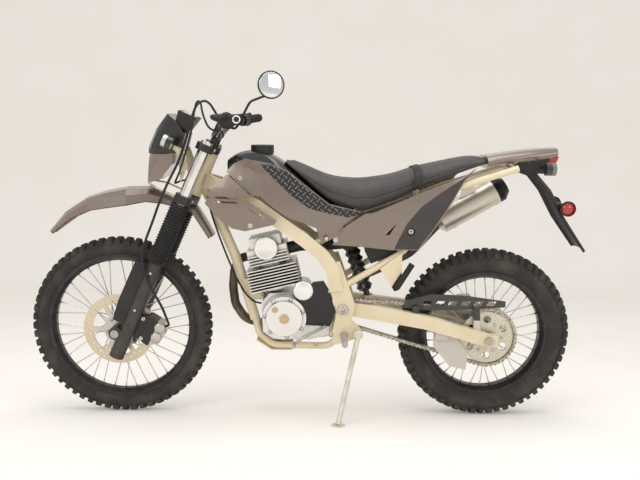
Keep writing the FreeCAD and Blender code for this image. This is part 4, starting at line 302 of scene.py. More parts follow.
def soft_edges(piece, width):
    """Rounds the piece's sharp edges in two steps."""
    edges = piece.modifiers.new("edges", "BEVEL")
    edges.width = width
    edges.segments = 2
    edges.limit_method = "ANGLE"
    edges.angle_limit = math.radians(35)
    return piece


frame_bolts = [(-0.1475, -0.0185, 0.464), (0.085, -0.121, 0.695), (0.1475, -0.115, 0.433), (0.105, -0.104, 0.335),
               (0.100, -0.104, 0.500), (0.050, -0.104, 0.300), (0.3413, -0.1, 0.520)]
turned("frame_bolts", scaled(NUT_SHARES, BOLT_RADIUS, BOLT_HEIGHT), frame_bolts, LEFT, zinc, "chassis")
PIVOT_CAP = [(0.0, 0.0035), (0.010, 0.0035), (0.0115, 0.002), (0.0165, 0.002), (0.0185, 0.0), (0.0185, -0.004),
             (0.0, -0.004)]
turned("pivot_caps", PIVOT_CAP, [(0.1474, -0.1115, 0.433), (0.1474, 0.1115, 0.433)], [LEFT, RIGHT], zinc, "chassis")

# Rims: black anodised aluminium channels, rolled to a hoop and drilled for the spokes.
# They are scuffed where tyre levers and stones have touched them.
BLACK_ANODISE = (0.016, 0.016, 0.018)
rim_black = weathered("black_anodised_rim", BLACK_ANODISE, 0.32, ((30, 5), (0.012, 0.012, 0.013), (0.03, 0.028, 0.026)),
                      ((220, 4, (1, 6, 1)), 0.24, 0.5), metallic=0.4, coat=0.2)
dress(rim_black, "front_rim", "rear_rim")

# Hubs and spokes: a dark cast hub with bright drawn-steel spokes, which start outside its flanges.
# The colour changes with the distance from the axle.
FRONT_AXLE = (-0.6825, 0.0, 0.33854)
WHEELS = (("front", FRONT_AXLE), ("rear", REAR_AXLE))
FLANGE_REACH = 0.043
HUB_DARK = (0.05, 0.047, 0.043)
SPOKE_BRIGHT = (0.55, 0.53, 0.50)


def offset_from(material, centre):
    """From the centre to the point, on Object coordinates."""
    offset = node(material, "VectorMath", operation="SUBTRACT")
    offset.inputs[1].default_value = parked(centre)
    wire(material, node(material, "TexCoord").outputs["Object"], offset.inputs[0])
    return offset.outputs["Vector"]


def between(material, value, low, high):
    """0 where the value is under low, 1 where it is over high, and even between."""
    spread = node(material, "MapRange", **{"From Min": low, "From Max": high})
    wire(material, value, spread.inputs["Value"])
    return spread.outputs["Result"]


def axle_reach(material, centre, low, high):
    """0 nearer to the axle than low and 1 further than high: the length of the offset crossed with the axle."""
    line = node(material, "VectorMath", operation="CROSS_PRODUCT")
    line.inputs[1].default_value = tilt(RIGHT)
    reach = node(material, "VectorMath", operation="LENGTH")
    wire(material, offset_from(material, centre), line.inputs[0])
    wire(material, line.outputs["Vector"], reach.inputs[0])
    return between(material, reach.outputs["Value"], low, high)


def worn(material, low, high, *cloud):
    """Gloss that drifts between two roughnesses, in clouds of their own scale and detail."""
    vary(material, noise(material, *cloud), "Roughness", low, high)


for wheel, centre in WHEELS:
    hub = finish(wheel + "_hub_and_spokes", HUB_DARK, 0.4, metallic=0.9)
    vary(hub, axle_reach(hub, centre, FLANGE_REACH - 0.002, FLANGE_REACH), "Base Color", HUB_DARK, SPOKE_BRIGHT)
    worn(hub, 0.26, 0.46, 120, 4)
    grain(hub, 0.0002, 700, 2)
    dress(hub, wheel + "_hub")

# Spoke nipples: small plated sleeves, turned from rod, that stand out of the rim at each spoke's end.
# Each points down its own spoke, which leans back or forward to one flange of the hub.
NIPPLE = [(0.0, -0.004), (0.0032, -0.004), (0.0032, 0.006), (0.0024, 0.010), (0.0024, 0.014), (0.0, 0.014)]
SPOKES = 36
SPOKE_LEAN = math.radians(62)
SPOKE_ROOT = 0.034
RIM_WALL = 0.0166
RIM_RADIUS = {"front": 0.267, "rear": 0.229}
FLANGE_SIDE = {"front": 0.030, "rear": 0.034}
spoke = np.arange(SPOKES)
for wheel, centre in WHEELS:
    reach = RIM_RADIUS[wheel] - RIM_WALL
    angle = 2 * np.pi * spoke / SPOKES
    flange = np.where(spoke % 2, 1.0, -1.0) * FLANGE_SIDE[wheel]
    lean_way = np.where(spoke % 4 < 2, 1.0, -1.0) * SPOKE_LEAN
    tip = np.stack([reach * np.cos(angle), 0 * angle, reach * np.sin(angle)], axis=1)
    root = np.stack([SPOKE_ROOT * np.cos(angle - lean_way), flange, SPOKE_ROOT * np.sin(angle - lean_way)], axis=1)
    turned(wheel + "_nipples", NIPPLE, tip + np.array(centre), root - tip, zinc, wheel + "_wheel", sides=8)

# Tyres: knobby rubber with tall blocks in alternate rows, in place of the plain ones.
# The carcass is a profile carried round the axle, and each block stands square to the crown's arc.
TREAD_ROWS = 60
TYRE_RADIUS = {"front": 0.339, "rear": 0.322}
TYRE_WIDTH = {"front": 0.076, "rear": 0.106}
CROWN_DROP = 0.18
CROWN_SHARE = 0.94
BEAD = [(0.001, 0.52), (0.0095, 0.57), (0.014, 0.66)]
WALL_SWELL = 0.16
CARCASS_STEPS = 181
BLOCK_DEPTH = 0.0105
BLOCK_ROOT = 0.003
BLOCK_EDGE = 0.0011
ROW_A = [(-0.90, 0.20, 0.62), (-0.34, 0.26, 0.56), (0.34, 0.26, 0.56), (0.90, 0.20, 0.62)]
ROW_B = [(-0.93, 0.15, 0.50), (-0.60, 0.20, 0.50), (0.0, 0.30, 0.58), (0.60, 0.20, 0.50), (0.93, 0.15, 0.50)]
RUBBER = (0.030, 0.027, 0.025)
DUST = (0.085, 0.07, 0.055)

rubber = weathered("tyre_rubber", RUBBER, 0.82, ((14, 6), RUBBER, DUST, 0.45, 0.8), ((200, 3), 0.7, 0.95))
grain(rubber, 0.0003, 900, 3)
grain(rubber, 0.0005, 120, 3)


def tyre(wheel, centre, outer, inner, width):
    """Carcass: bead, wall and crown arc as radius and side, carried round the axle. Blocks: eight corners each, at
    every row's angle round the axle and every block's angle across the crown, narrower at the tip."""
    half = width / 2
    drop = (outer - inner) * CROWN_DROP
    crown = (half ** 2 + drop ** 2) / (2 * drop)
    widest = math.asin(half / crown)
    floor = crown - BLOCK_DEPTH
    across = np.linspace(-widest, widest, 15) * CROWN_SHARE
    arc = np.stack([outer - crown + floor * np.cos(across), floor * np.sin(across)], axis=1)
    edge = arc[0]
    bead = np.array([(inner + out, -half * share) for out, share in BEAD])
    swell = np.linspace(0, 1, 9)[1:-1, None]
    wall = bead[2] * (1 - swell) + edge * swell
    wall[:, 1] -= half * WALL_SWELL * np.sin(np.pi * swell[:, 0])
    left = np.concatenate([bead, wall])
    profile = np.concatenate([left, arc, (left * [1, -1])[::-1], bead[:1]])
    around = np.linspace(0, 2 * np.pi, CARCASS_STEPS)
    spun = np.stack([profile[:, None, 0] * np.sin(around), profile[:, 1:] + 0 * around,
                     profile[:, None, 0] * np.cos(around)], axis=-1)
    ring = closed(sheets(wheel + "_carcass", parked(spun + centre)[None], rubber))
    step = 2 * math.pi / TREAD_ROWS
    table = np.array([(row, *share) for row in range(TREAD_ROWS) for share in (ROW_A if row % 2 else ROW_B)])
    rows, angles, spans, lengths = (table * [step, widest, half, step * outer / 2]).T[..., None]
    corner_span = np.array([[-1, 1, 1, -1]])
    corner_length = np.array([[-1, -1, 1, 1]])
    layers = []
    for rise, taper in ((floor - BLOCK_ROOT, 1.12), (crown, 0.86)):
        reach = outer - crown + rise * np.cos(angles) - spans * taper * corner_span * np.sin(angles)
        side = rise * np.sin(angles) + spans * taper * corner_span * np.cos(angles)
        round_way = lengths * taper * corner_length
        layers.append(np.stack([reach * np.sin(rows) + round_way * np.cos(rows), side,
                                reach * np.cos(rows) - round_way * np.sin(rows)], axis=-1))
    corners = parked(np.concatenate(layers, axis=1) + centre)
    faces = np.array([[0, 1, 2, 3], [4, 7, 6, 5], [0, 4, 5, 1], [1, 5, 6, 2], [2, 6, 7, 3], [3, 7, 4, 0]])
    faces = faces[None] + 8 * np.arange(len(corners))[:, None, None]
    blocks = shell(wheel + "_blocks", corners, faces, rubber, smooth=False)
    soft_edges(closed(blocks), BLOCK_EDGE)
    for piece in (ring, blocks):
        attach(piece, wheel + "_wheel")
        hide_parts(wheel + "_tyre")


for wheel, centre in WHEELS:
    tyre(wheel, centre, TYRE_RADIUS[wheel], RIM_RADIUS[wheel], TYRE_WIDTH[wheel])

# Brakes: drilled discs of bronze-tinted steel, ground in circles, and calipers in dark alloy.
# Six bolts hold each disc to its hub, and the front caliper shows two bright pistons.
DISC_BRONZE = (0.66, 0.56, 0.43)
DISC_CARRIER = (0.56, 0.545, 0.52)
CARRIER_RADIUS = 0.074
GRINDING = 900
RAKE = math.radians(24)
for wheel, centre in WHEELS:
    ground = finish(wheel + "_disc_steel", DISC_BRONZE, 0.35, metallic=0.7)
    rings = calc(ground, "SINE", calc(ground, "MULTIPLY", axle_reach(ground, centre, 0, 1), GRINDING))
    vary(ground, rings, "Roughness", 0.28, 0.42, 0.0, 1.0)
    vary(ground, axle_reach(ground, centre, CARRIER_RADIUS, CARRIER_RADIUS + 0.004), "Base Color", DISC_CARRIER,
         DISC_BRONZE)
    bump(ground, rings, 0.00005)
    dress(ground, wheel + "_disc")

STEER_UP = np.array([math.sin(RAKE), 0.0, math.cos(RAKE)])
STEER_AHEAD = np.array([-math.cos(RAKE), 0.0, math.sin(RAKE)])
STEER_FOOT = np.array([-0.63682, 0.0, 0.31820])


def steer(up, ahead, side=0.0):
    """Places measured up the steering axis, ahead of it and to its right, in metres."""
    up, ahead, side = (np.asarray(value, dtype=float)[..., None] for value in (up, ahead, side))
    return STEER_FOOT + STEER_UP * up + STEER_AHEAD * ahead + np.array(RIGHT) * side


CALIPER_SPLIT = -0.074
CALIPER_DARK = (0.034, 0.031, 0.029)
CALIPER_SILVER = (0.50, 0.47, 0.42)


def along_line(material, origin, direction, low, high):
    """0 before low and 1 past high: the offset from the origin times the direction."""
    reach = node(material, "VectorMath", operation="DOT_PRODUCT")
    reach.inputs[1].default_value = tilt(np.asarray(direction) / np.linalg.norm(direction))
    wire(material, offset_from(material, origin), reach.inputs[0])
    return between(material, reach.outputs["Value"], low, high)


def two_tone(material, share, first, second):
    """The first colour where the share is 0 and the second where it is 1."""
    return vary(material, share, "Base Color", first, second, 0.0, 1.0)


def cast(name, colour, pale, metallic, rough=0.42):
    """Cast alloy: cloudy colour, uneven gloss and the fine grain that the sand or die leaves."""
    material = weathered(name, colour, rough, ((22, 6), colour, pale), ((90, 4), rough - 0.1, rough + 0.12),
                         metallic=metallic)
    grain(material, 0.0004, 850, 3, strength=0.3)
    return material


caliper = finish("caliper_alloy", CALIPER_DARK, 0.42, metallic=0.5)
behind_split = along_line(caliper, steer(0.05, CALIPER_SPLIT), -STEER_AHEAD, 0.0, 0.002)
two_tone(caliper, behind_split, CALIPER_DARK, CALIPER_SILVER)
worn(caliper, 0.3, 0.52, 90, 4)
grain(caliper, 0.0003, 500, 3)
dress(caliper, "front_brake", "rear_brake")
caliper_bolts = [steer(0.085, -0.020, -0.092), steer(0.012, -0.040, -0.092)]
turned("caliper_bolts", scaled(BOLT_SHARES, 0.0085, 0.005), caliper_bolts, LEFT, zinc, "steering")
PISTON = [(0.0, 0.0095), (0.0105, 0.0095), (0.0120, 0.0080), (0.0165, 0.0078), (0.0190, 0.0050), (0.0195, -0.002),
          (0.0, -0.002)]
bright_cast = cast("bright_caliper", CALIPER_SILVER, (0.60, 0.57, 0.52), 0.7)
pistons = [steer(0.078, -0.088, -0.092), steer(0.038, -0.090, -0.092)]
turned("caliper_pistons", PISTON, pistons, LEFT, bright_cast, "steering", 32)


def bolt_circle(centre, radius, count, first, side):
    """Places at even angles from the first round a centre of the side view: its x and z plus the radius times the
    cosine and the sine."""
    angle = np.linspace(0, 2 * np.pi, count + 1)[:-1] + first
    return np.stack([centre[0] + radius * np.cos(angle), 0 * angle + side, centre[-1] + radius * np.sin(angle)], axis=1)


for (wheel, centre), side, way in zip(WHEELS, (-0.062, 0.076), (LEFT, RIGHT)):
    turned(wheel + "_disc_bolts", scaled(BOLT_SHARES, 0.0062, 0.004), bolt_circle(centre, 0.044, 6, 0.2, side), way,
           zinc, wheel + "_wheel")

# Chain and sprockets: oiled steel. Every link's pin ends in a small rivet on the outside.
# The pins follow the loop: two straight runs and two arcs about the sprockets.
CHAIN_COLOUR = (0.20, 0.17, 0.13)
CHAIN_BRIGHT = (0.48, 0.44, 0.37)
PITCH = 0.015875
FRONT_PITCH_RADIUS = 0.038177
REAR_PITCH_RADIUS = 0.106216
CHAIN_FACE = -0.0805
DRIVE_SHAFT = np.array([0.08463, 0.432])
REAR_SHAFT = np.array([REAR_AXLE[0], REAR_AXLE[2]])
PIN = [(0.0, 0.0012), (0.0022, 0.0012), (0.0034, 0.0002), (0.0034, -0.003), (0.0, -0.003)]

chain_steel = weathered("oiled_chain", CHAIN_COLOUR, 0.34, ((90, 5), CHAIN_COLOUR, CHAIN_BRIGHT),
                        ((300, 3), 0.22, 0.5), metallic=0.9)
dress(chain_steel, "drive_chain")
sprocket_steel = weathered("sprocket_steel", (0.62, 0.57, 0.46), 0.34,
                           ((70, 5), (0.58, 0.53, 0.43), (0.66, 0.61, 0.50), 0.3, 0.7), ((240, 3), 0.24, 0.45),
                           metallic=0.5)
dress(sprocket_steel, "rear_sprocket")


def on_sprocket(centre, radius, angle):
    """The centre plus the radius times the angle's cosine and sine."""
    return centre + radius * np.stack([np.cos(angle), np.sin(angle)], axis=-1)


run = REAR_SHAFT - DRIVE_SHAFT
span = np.linalg.norm(run)
heading = math.atan2(run[1], run[0])
opening = math.acos((FRONT_PITCH_RADIUS - REAR_PITCH_RADIUS) / span)
straight = math.sqrt(span ** 2 - (REAR_PITCH_RADIUS - FRONT_PITCH_RADIUS) ** 2)
front_arc = FRONT_PITCH_RADIUS * (2 * math.pi - 2 * opening)
rear_arc = REAR_PITCH_RADIUS * 2 * opening
loop = 2 * straight + front_arc + rear_arc
links = int(round(loop / PITCH / 2)) * 2
at = np.arange(links) * loop / links
upper, lower = heading + opening, heading - opening
upper_front = on_sprocket(DRIVE_SHAFT, FRONT_PITCH_RADIUS, upper)
upper_rear = on_sprocket(REAR_SHAFT, REAR_PITCH_RADIUS, upper)
lower_rear = on_sprocket(REAR_SHAFT, REAR_PITCH_RADIUS, lower)
lower_front = on_sprocket(DRIVE_SHAFT, FRONT_PITCH_RADIUS, lower)
upper_run = upper_front + (upper_rear - upper_front) * (at / straight)[:, None]
round_rear = on_sprocket(REAR_SHAFT, REAR_PITCH_RADIUS, upper - (at - straight) / REAR_PITCH_RADIUS)
lower_run = lower_rear + (lower_front - lower_rear) * ((at - straight - rear_arc) / straight)[:, None]
round_front = on_sprocket(DRIVE_SHAFT, FRONT_PITCH_RADIUS, lower - (at - 2 * straight - rear_arc) / FRONT_PITCH_RADIUS)
ends = [(at < straight + passed)[:, None] for passed in (0, rear_arc, straight + rear_arc)]
where = np.select(ends, [upper_run, round_rear, lower_run], round_front)
pins = np.stack([where[:, 0], np.full(links, CHAIN_FACE), where[:, 1]], axis=1)
turned("chain_pins", PIN, pins, LEFT, zinc, "chassis", sides=8)
sprocket_bolts = bolt_circle(REAR_AXLE, 0.056, 6, 0, -0.075)
turned("sprocket_bolts", scaled(BOLT_SHARES, 0.0065, 0.004), sprocket_bolts, LEFT, zinc, "rear_wheel")

# Fork: cast legs painted dark, chromed tubes, rubber gaiters and black moulded guards.
# Forged alloy clamps hold the tubes, pinched by zinc bolts on both sides.
CAST_DARK = (0.046, 0.041, 0.037)
GUARD_BLACK = (0.010, 0.0095, 0.0095)


def moulded(name, colour, rough, dust=1.5, relief=0.0004):
    """Moulded plastic or rubber: a faint film of dust in patches over a fine spark-eroded grain."""
    pale = tuple(value * dust + 0.003 for value in colour)
    material = weathered(name, colour, rough, ((16, 6), colour, pale, 0.4, 0.75), ((120, 4), rough - 0.07, rough + 0.1))
    grain(material, relief, 1500, 2, strength=0.3)
    return material


leg_paint = cast("dark_cast_legs", CAST_DARK, (0.066, 0.058, 0.051), 0.3)
dress(leg_paint, "fork_sliders")
clamp_black = cast("black_clamps", (0.022, 0.020, 0.019), (0.034, 0.031, 0.029), 0.3, 0.36)
dress(clamp_black, "triple_clamps")
chrome = weathered("hard_chrome", (0.75, 0.74, 0.72), 0.12, ((25, 3), (0.66, 0.65, 0.62), (0.78, 0.77, 0.75)),
                   ((60, 4, (1, 1, 0.2)), 0.06, 0.2), metallic=1.0)
dress(chrome, "fork_tubes")
steel = weathered("turned_steel", (0.45, 0.42, 0.38), 0.3, ((35, 4), (0.38, 0.35, 0.31), (0.50, 0.47, 0.43)),
                  ((200, 3, (1, 8, 1)), 0.22, 0.42), metallic=0.95)
dress(steel, "front_axle", "rear_axles")
gaiter_rubber = moulded("gaiter_rubber", GUARD_BLACK, 0.66, 1.8)
dress(gaiter_rubber, "fork_gaiters", "brake_hose", "steering_cables", "frame_cables")
black_plastic = moulded("black_moulding", GUARD_BLACK, 0.48)
dress(black_plastic, "fork_guards", "intake", "airbox", "fuel_cap", "rear_mudguard", "sprocket_cover",
      "hand_controls", "mirror", "instrument")
black_paint = weathered("black_paint", (0.012, 0.012, 0.013), 0.25,
                        ((12, 5), (0.010, 0.010, 0.011), (0.022, 0.021, 0.021)), ((150, 4), 0.2, 0.42), coat=0.7)
grain(black_paint, 0.0002, 700, 1, strength=0.2)
dress(black_paint, "handlebar", "rear_shock")
yellow_zinc = weathered("yellow_zinc_plate", (0.62, 0.54, 0.38), 0.3, ((45, 4), (0.54, 0.45, 0.29), (0.68, 0.61, 0.46)),
                        ((180, 3), 0.22, 0.42), metallic=0.6)
dress(yellow_zinc, "front_stays")

clamp_bolts = [steer(up, -0.014, side) for up in (0.552, 0.7535) for side in (-0.062, 0.062)]
turned("clamp_bolts", scaled(BOLT_SHARES, 0.006, 0.005), clamp_bolts, -STEER_AHEAD, zinc, "steering")
leg_bolts = [steer(up, 0.016, -0.1225) for up in (0.112, 0.262)]
turned("guard_bolts", scaled(BOLT_SHARES, 0.0055, 0.0035), leg_bolts, LEFT, zinc, "steering")

# Handlebar controls: black painted steel bar, ribbed rubber grips with a flange, and a black round mirror.
# The glass is silvered behind, and a bright plug closes each end of the bar.
GRIP_LENGTH = 0.120
GRIP_RADIUS = 0.016
RIBS = 17
grip_rubber = moulded("grip_rubber", GUARD_BLACK, 0.62, 1.6)
rib = np.linspace(0.010, GRIP_LENGTH - 0.006, RIBS * 4 + 1)
rib_radius = GRIP_RADIUS + 0.0009 * np.where(np.arange(len(rib)) % 4 < 2, 1.0, -1.0)
GRIP = ([(0.0113, 0.1205), (0.0113, 0.0), (0.0246, 0.0), (0.0250, 0.0012), (0.0246, 0.0036), (0.0185, 0.0052)]
        + list(zip(rib_radius, rib)) + [(GRIP_RADIUS, 0.1165), (GRIP_RADIUS, 0.126), (0.013, 0.1278), (0.0, 0.1278),
                                        (0.0, 0.1205), (0.0113, 0.1205)])
BAR_PLUG = [(0.0085, 0.0105), (0.0118, 0.0105), (0.0130, 0.0092), (0.0130, 0.0070), (0.0085, 0.0070), (0.0085, 0.0105)]
for side_name, way in (("left", -1), ("right", 1)):
    bar_rise, bar_tip = steer(0.858, -0.008, way * 0.165), steer(0.905, -0.076, way * 0.405)
    bar_run = (bar_tip - bar_rise) / np.linalg.norm(bar_tip - bar_rise)
    grip = turned(side_name + "_grip", GRIP, bar_tip - bar_run * GRIP_LENGTH, bar_run, grip_rubber, "steering", 28)
    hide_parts("grips")
    turned(side_name + "_bar_plug", BAR_PLUG, bar_tip, bar_run, chrome, "steering", 28)

silvered = weathered("silvered_glass", (0.72, 0.75, 0.78), 0.03, ((14, 4), (0.68, 0.71, 0.74), (0.76, 0.79, 0.82)),
                     ((8, 3), 0.02, 0.06), metallic=1.0, coat=0.5)
GLASS = [(0.0, 0.0024), (0.049, 0.0024), (0.0505, 0.0018), (0.0505, 0.0010), (0.0, 0.0010)]
turned("mirror_glass", GLASS, steer(1.050, -0.078, 0.300), (0.35, -0.93, 0.05), silvered, "steering", 64)

# Meter: a flat display, switched off, under a smoked window.
# The window is pressed from one sheet and lies level with the top of its black housing.
WINDOW_HALF = (0.050, 0.026)
WINDOW_AHEAD = 0.1235
WINDOW_UP = 0.8338
window = weathered("meter_window", (0.02, 0.022, 0.021), 0.08,
                   ((30, 2), (0.018, 0.02, 0.019), (0.07, 0.075, 0.065), 0.45, 0.6), ((90, 3), 0.05, 0.14), coat=1.0)


def squared(wave):
    """The wave's sign times its size to the power 0.45, which makes a round outline nearly a rectangle."""
    return np.sign(wave) * np.abs(wave) ** 0.45


reach, turn = np.meshgrid(np.linspace(0, 1, 6), np.linspace(0, 2 * np.pi, 49), indexing="ij")
window_grid = steer(WINDOW_UP - 0.0012 * reach ** 6, WINDOW_AHEAD + reach * WINDOW_HALF[1] * squared(np.sin(turn)),
                    reach * WINDOW_HALF[0] * squared(np.cos(turn)))
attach(closed(sheets("meter_window", parked(window_grid)[None], window)), "steering")

# Lamps: gloss black housings; the headlamp's lens is a moulded window over its reflector.
# The lens follows the nose of the housing one millimetre outside it.
LENS_UP = (0.668, 0.737)
LENS_SIDE = 0.060
LENS_LIFT = 0.0012
NOSE_FLAT = 0.206
NOSE_CENTRE = 0.125
NOSE_RADIUS = 0.090
gloss_black = weathered("gloss_black", (0.006, 0.006, 0.0065), 0.2,
                        ((10, 5), (0.005, 0.005, 0.0055), (0.012, 0.0115, 0.0115)), ((90, 4), 0.14, 0.3), coat=0.4)
dress(gloss_black, "headlight")
lamp_glass = finish("lamp_lens", (0.02, 0.035, 0.028), 0.06, coat=1.0)
waves = node(lamp_glass, "TexWave", bands_direction="X", Scale=60.0)
wire(lamp_glass, node(lamp_glass, "TexCoord").outputs["UV"], waves.inputs["Vector"])
flutes = waves.outputs["Fac"]
vary(lamp_glass, flutes, "Base Color", (0.012, 0.022, 0.018), (0.05, 0.065, 0.058), 0.2, 0.8)
bump(lamp_glass, flutes, 0.001)


def mapped(piece, across, along):
    """Gives each corner the two lengths, in metres, that its point has on the grid."""
    layer = piece.data.uv_layers.new(name="UVMap")
    corner = np.zeros(len(piece.data.loops), dtype=int)
    piece.data.loops.foreach_get("vertex_index", corner)
    layer.data.foreach_set("uv", np.stack([np.ravel(across), np.ravel(along)], axis=1)[corner].ravel())
    return piece


def walled(piece, thickness):
    """Gives an open sheet its thickness, inwards."""
    wall = piece.modifiers.new("wall", "SOLIDIFY")
    wall.thickness = thickness
    wall.offset = -1
    return piece


lens_up, lens_side = np.meshgrid(np.linspace(*LENS_UP, 14), np.linspace(-LENS_SIDE, LENS_SIDE, 33), indexing="ij")
lens_ahead = np.minimum(NOSE_FLAT, NOSE_CENTRE + np.sqrt(NOSE_RADIUS ** 2 - lens_side ** 2)) + LENS_LIFT
lens_grid = steer(lens_up, lens_ahead, lens_side)
lens = mapped(sheets("headlamp_lens", parked(lens_grid)[None], lamp_glass), lens_side, lens_up)
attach(walled(lens, 0.001), "steering")

for name, origin, ahead, lens_colour in (
        ("front_indicators", steer(0.724, 0.134), STEER_AHEAD, (0.62, 0.61, 0.58)),
        ("rear_indicators", (0.85586, 0.0, 0.951), (1.0, 0.0, 0.0), (0.16, 0.15, 0.14))):
    glass = finish(name + "_glass", GUARD_BLACK, 0.14, metallic=0.4, coat=1.0)
    two_tone(glass, along_line(glass, origin, ahead, 0.003, 0.0035), (0.012, 0.0115, 0.011), lens_colour)
    worn(glass, 0.08, 0.2, 120, 3)
    grain(glass, 0.0008, 420, 1, (1, 1, 0.2))
    dress(glass, name)

tail_red = weathered("tail_lens", (0.42, 0.012, 0.010), 0.16, ((240, 1, (1, 1, 0.15)), (0.30, 0.006, 0.006),
                     (0.52, 0.02, 0.015)), ((60, 3), 0.1, 0.25), coat=0.8)
grain(tail_red, 0.001, 260, 1, (1, 1, 0.1))
dress(tail_red, "tail_light")

# Body panels: injection moulded covers in brownish grey metallic paint under clear lacquer.
# Fine flakes sparkle in the paint, and the button bolts sit in the panels' corners.
TAUPE = (0.190, 0.146, 0.118)
TAUPE_LIGHT = (0.250, 0.195, 0.160)
PANEL_RADIUS = 1.5
WHEELBASE = 1.365
TANK_COVER = (-0.0546, 0.790, 0.124, 0.430)
SHROUD = (-0.0546, 0.790, 0.144, 0.430)
SIDE_COVER = (0.31395, 0.780, 0.130, 0.900)
FILM_INSET = 0.03
FILM_LIFT = 0.0007
FILM_THICKNESS = 0.0009


def cells(material, scale):
    """Cells of about one metre over the scale, on Object coordinates."""
    texture = node(material, "TexVoronoi", Scale=scale)
    wire(material, node(material, "TexCoord").outputs["Object"], texture.inputs["Vector"])
    return texture.outputs


taupe = finish("taupe_metallic", TAUPE, 0.30, metallic=0.5, coat=0.9)
vary(taupe, cells(taupe, 1400.0)["Color"], "Base Color", TAUPE, TAUPE_LIGHT, 0.2, 0.9)
worn(taupe, 0.24, 0.36, 35, 5)
grain(taupe, 0.0001, 260, 2, strength=0.15)
dress(taupe, "tank_covers", "shrouds", "side_covers", "tail_fender", "headlight_cowl", "front_fender")


def skin(crown, x, z, lift=0.0):
    """A panel's outer face: the far side of a ring of PANEL_RADIUS whose section has the crown's own radius; lift
    makes that radius larger, which moves the face out evenly."""
    middle_x, middle_z, side, up_radius = crown
    reach = PANEL_RADIUS - up_radius + np.sqrt((up_radius + lift) ** 2 - (z - middle_z) ** 2)
    return PANEL_RADIUS - side - np.sqrt(reach ** 2 - (x - middle_x) ** 2)


def evenly(corners, count):
    """The broken line through the corners, at even steps of its own length."""
    corners = np.array(corners, dtype=float) * [WHEELBASE, 1.0]
    run = np.concatenate([[0], np.cumsum(np.linalg.norm(np.diff(corners, axis=0), axis=1))])
    steps = np.linspace(0, run[-1], count)
    return np.stack([np.interp(steps, run, corners[:, 0]), np.interp(steps, run, corners[:, 1])], axis=1)


def inlay(name, crown, first, second, material):
    """A thin sheet on a panel, ruled between two lines of its side view and laid on the panel's skin."""
    share = np.linspace(FILM_INSET, 1 - FILM_INSET, 15)[:, None, None]
    flat = evenly(first, 61)[None] * (1 - share) + evenly(second, 61)[None] * share
    for way in (-1, 1):
        y = -way * skin(crown, flat[..., 0], flat[..., 1], FILM_LIFT)
        points = parked(np.stack([flat[..., 0], y, flat[..., 1]], axis=-1))
        piece = sheets(name + ("_left" if way < 0 else "_right"), (points if way < 0 else points[::-1])[None], material)
        layout = flat if way < 0 else flat[::-1]
        mapped(piece, layout[..., 0], layout[..., 1])
        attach(walled(piece, FILM_THICKNESS), "chassis")


weave = finish("dash_pattern_film", (0.014, 0.0135, 0.014), 0.42)
DASH_CELL = 0.0175
DASH_HALF_WIDTH = 0.062
DASH_HALF_LENGTH = 0.45
film_turn = node(weave, "Mapping", Rotation=(0, 0, math.radians(42)), Scale=(1 / DASH_CELL,) * 3)
film_axes = node(weave, "SeparateXYZ")
film_checks = node(weave, "TexChecker", Scale=1.0)
wire(weave, node(weave, "TexCoord").outputs["UV"], film_turn.inputs["Vector"])
wire(weave, film_turn.outputs["Vector"], film_axes.inputs["Vector"])
wire(weave, film_turn.outputs["Vector"], film_checks.inputs["Vector"])
off_x, off_y = (calc(weave, "ABSOLUTE", calc(weave, "SUBTRACT", calc(weave, "FRACT", film_axes.outputs[axis]), 0.5))
                for axis in "XY")
swapped = calc(weave, "MULTIPLY", film_checks.outputs["Fac"], calc(weave, "SUBTRACT", off_y, off_x))
dash_along = calc(weave, "ADD", off_x, swapped)
dash_across = calc(weave, "SUBTRACT", off_y, swapped)
dash = calc(weave, "MULTIPLY", calc(weave, "LESS_THAN", dash_along, DASH_HALF_LENGTH),
            calc(weave, "LESS_THAN", dash_across, DASH_HALF_WIDTH))
two_tone(weave, dash, (0.016, 0.015, 0.0145), (0.30, 0.295, 0.28))
bump(weave, dash, 0.0006)
worn(weave, 0.34, 0.5, 200, 3)

FILM_LOW = [(-0.113, 0.955), (-0.035, 0.853), (0.016, 0.803), (0.070, 0.784), (0.118, 0.771), (0.148, 0.780)]
FILM_HIGH = [(-0.088, 0.957), (-0.038, 0.931), (0.069, 0.817), (0.156, 0.788)]
inlay("tank_pattern", TANK_COVER, FILM_LOW, FILM_HIGH, weave)
satin_dark = moulded("satin_dark_panel", (0.040, 0.036, 0.034), 0.5, 1.3)
DARK_FRONT = [(0.238, 0.661), (0.243, 0.679), (0.269, 0.755), (0.304, 0.812), (0.353, 0.860), (0.441, 0.933)]
DARK_BACK = [(0.303, 0.661), (0.305, 0.664), (0.338, 0.727), (0.373, 0.800), (0.419, 0.906), (0.450, 0.944)]
inlay("side_cover_dark", SIDE_COVER, DARK_FRONT, DARK_BACK, satin_dark)

PANEL_BOLT = [(0.0, 0.0006), (0.0034, 0.0006), (0.0042, 0.0032), (0.0074, 0.0029), (0.0096, 0.0005), (0.0096, -0.004),
              (0.0, -0.004)]


def both_sides(crown, x, z):
    """The spot of a panel's skin at x and z, on the left and on the right."""
    return [(x, -way * skin(crown, x, z), z) for way in (-1, 1)]


REAR_BOLT = (SIDE_COVER, 0.384, 0.725)
for name, *spot in (("tank_cover_bolts", TANK_COVER, -0.2238, 0.906), ("shroud_bolts", SHROUD, -0.1846, 0.742),
                    ("side_cover_bolts", SIDE_COVER, 0.118, 0.690), ("side_cover_rear_bolts", *REAR_BOLT)):
    turned(name, PANEL_BOLT, both_sides(*spot), [LEFT, RIGHT], zinc, "chassis")

RECESS = [(0.0, 0.0012), (0.0115, 0.0012), (0.0125, 0.0026), (0.0160, 0.0026), (0.0175, 0.0010), (0.0175, -0.003),
          (0.0, -0.003)]
turned("bolt_recesses", RECESS, both_sides(*REAR_BOLT), [LEFT, RIGHT], black_plastic, "chassis", 32)

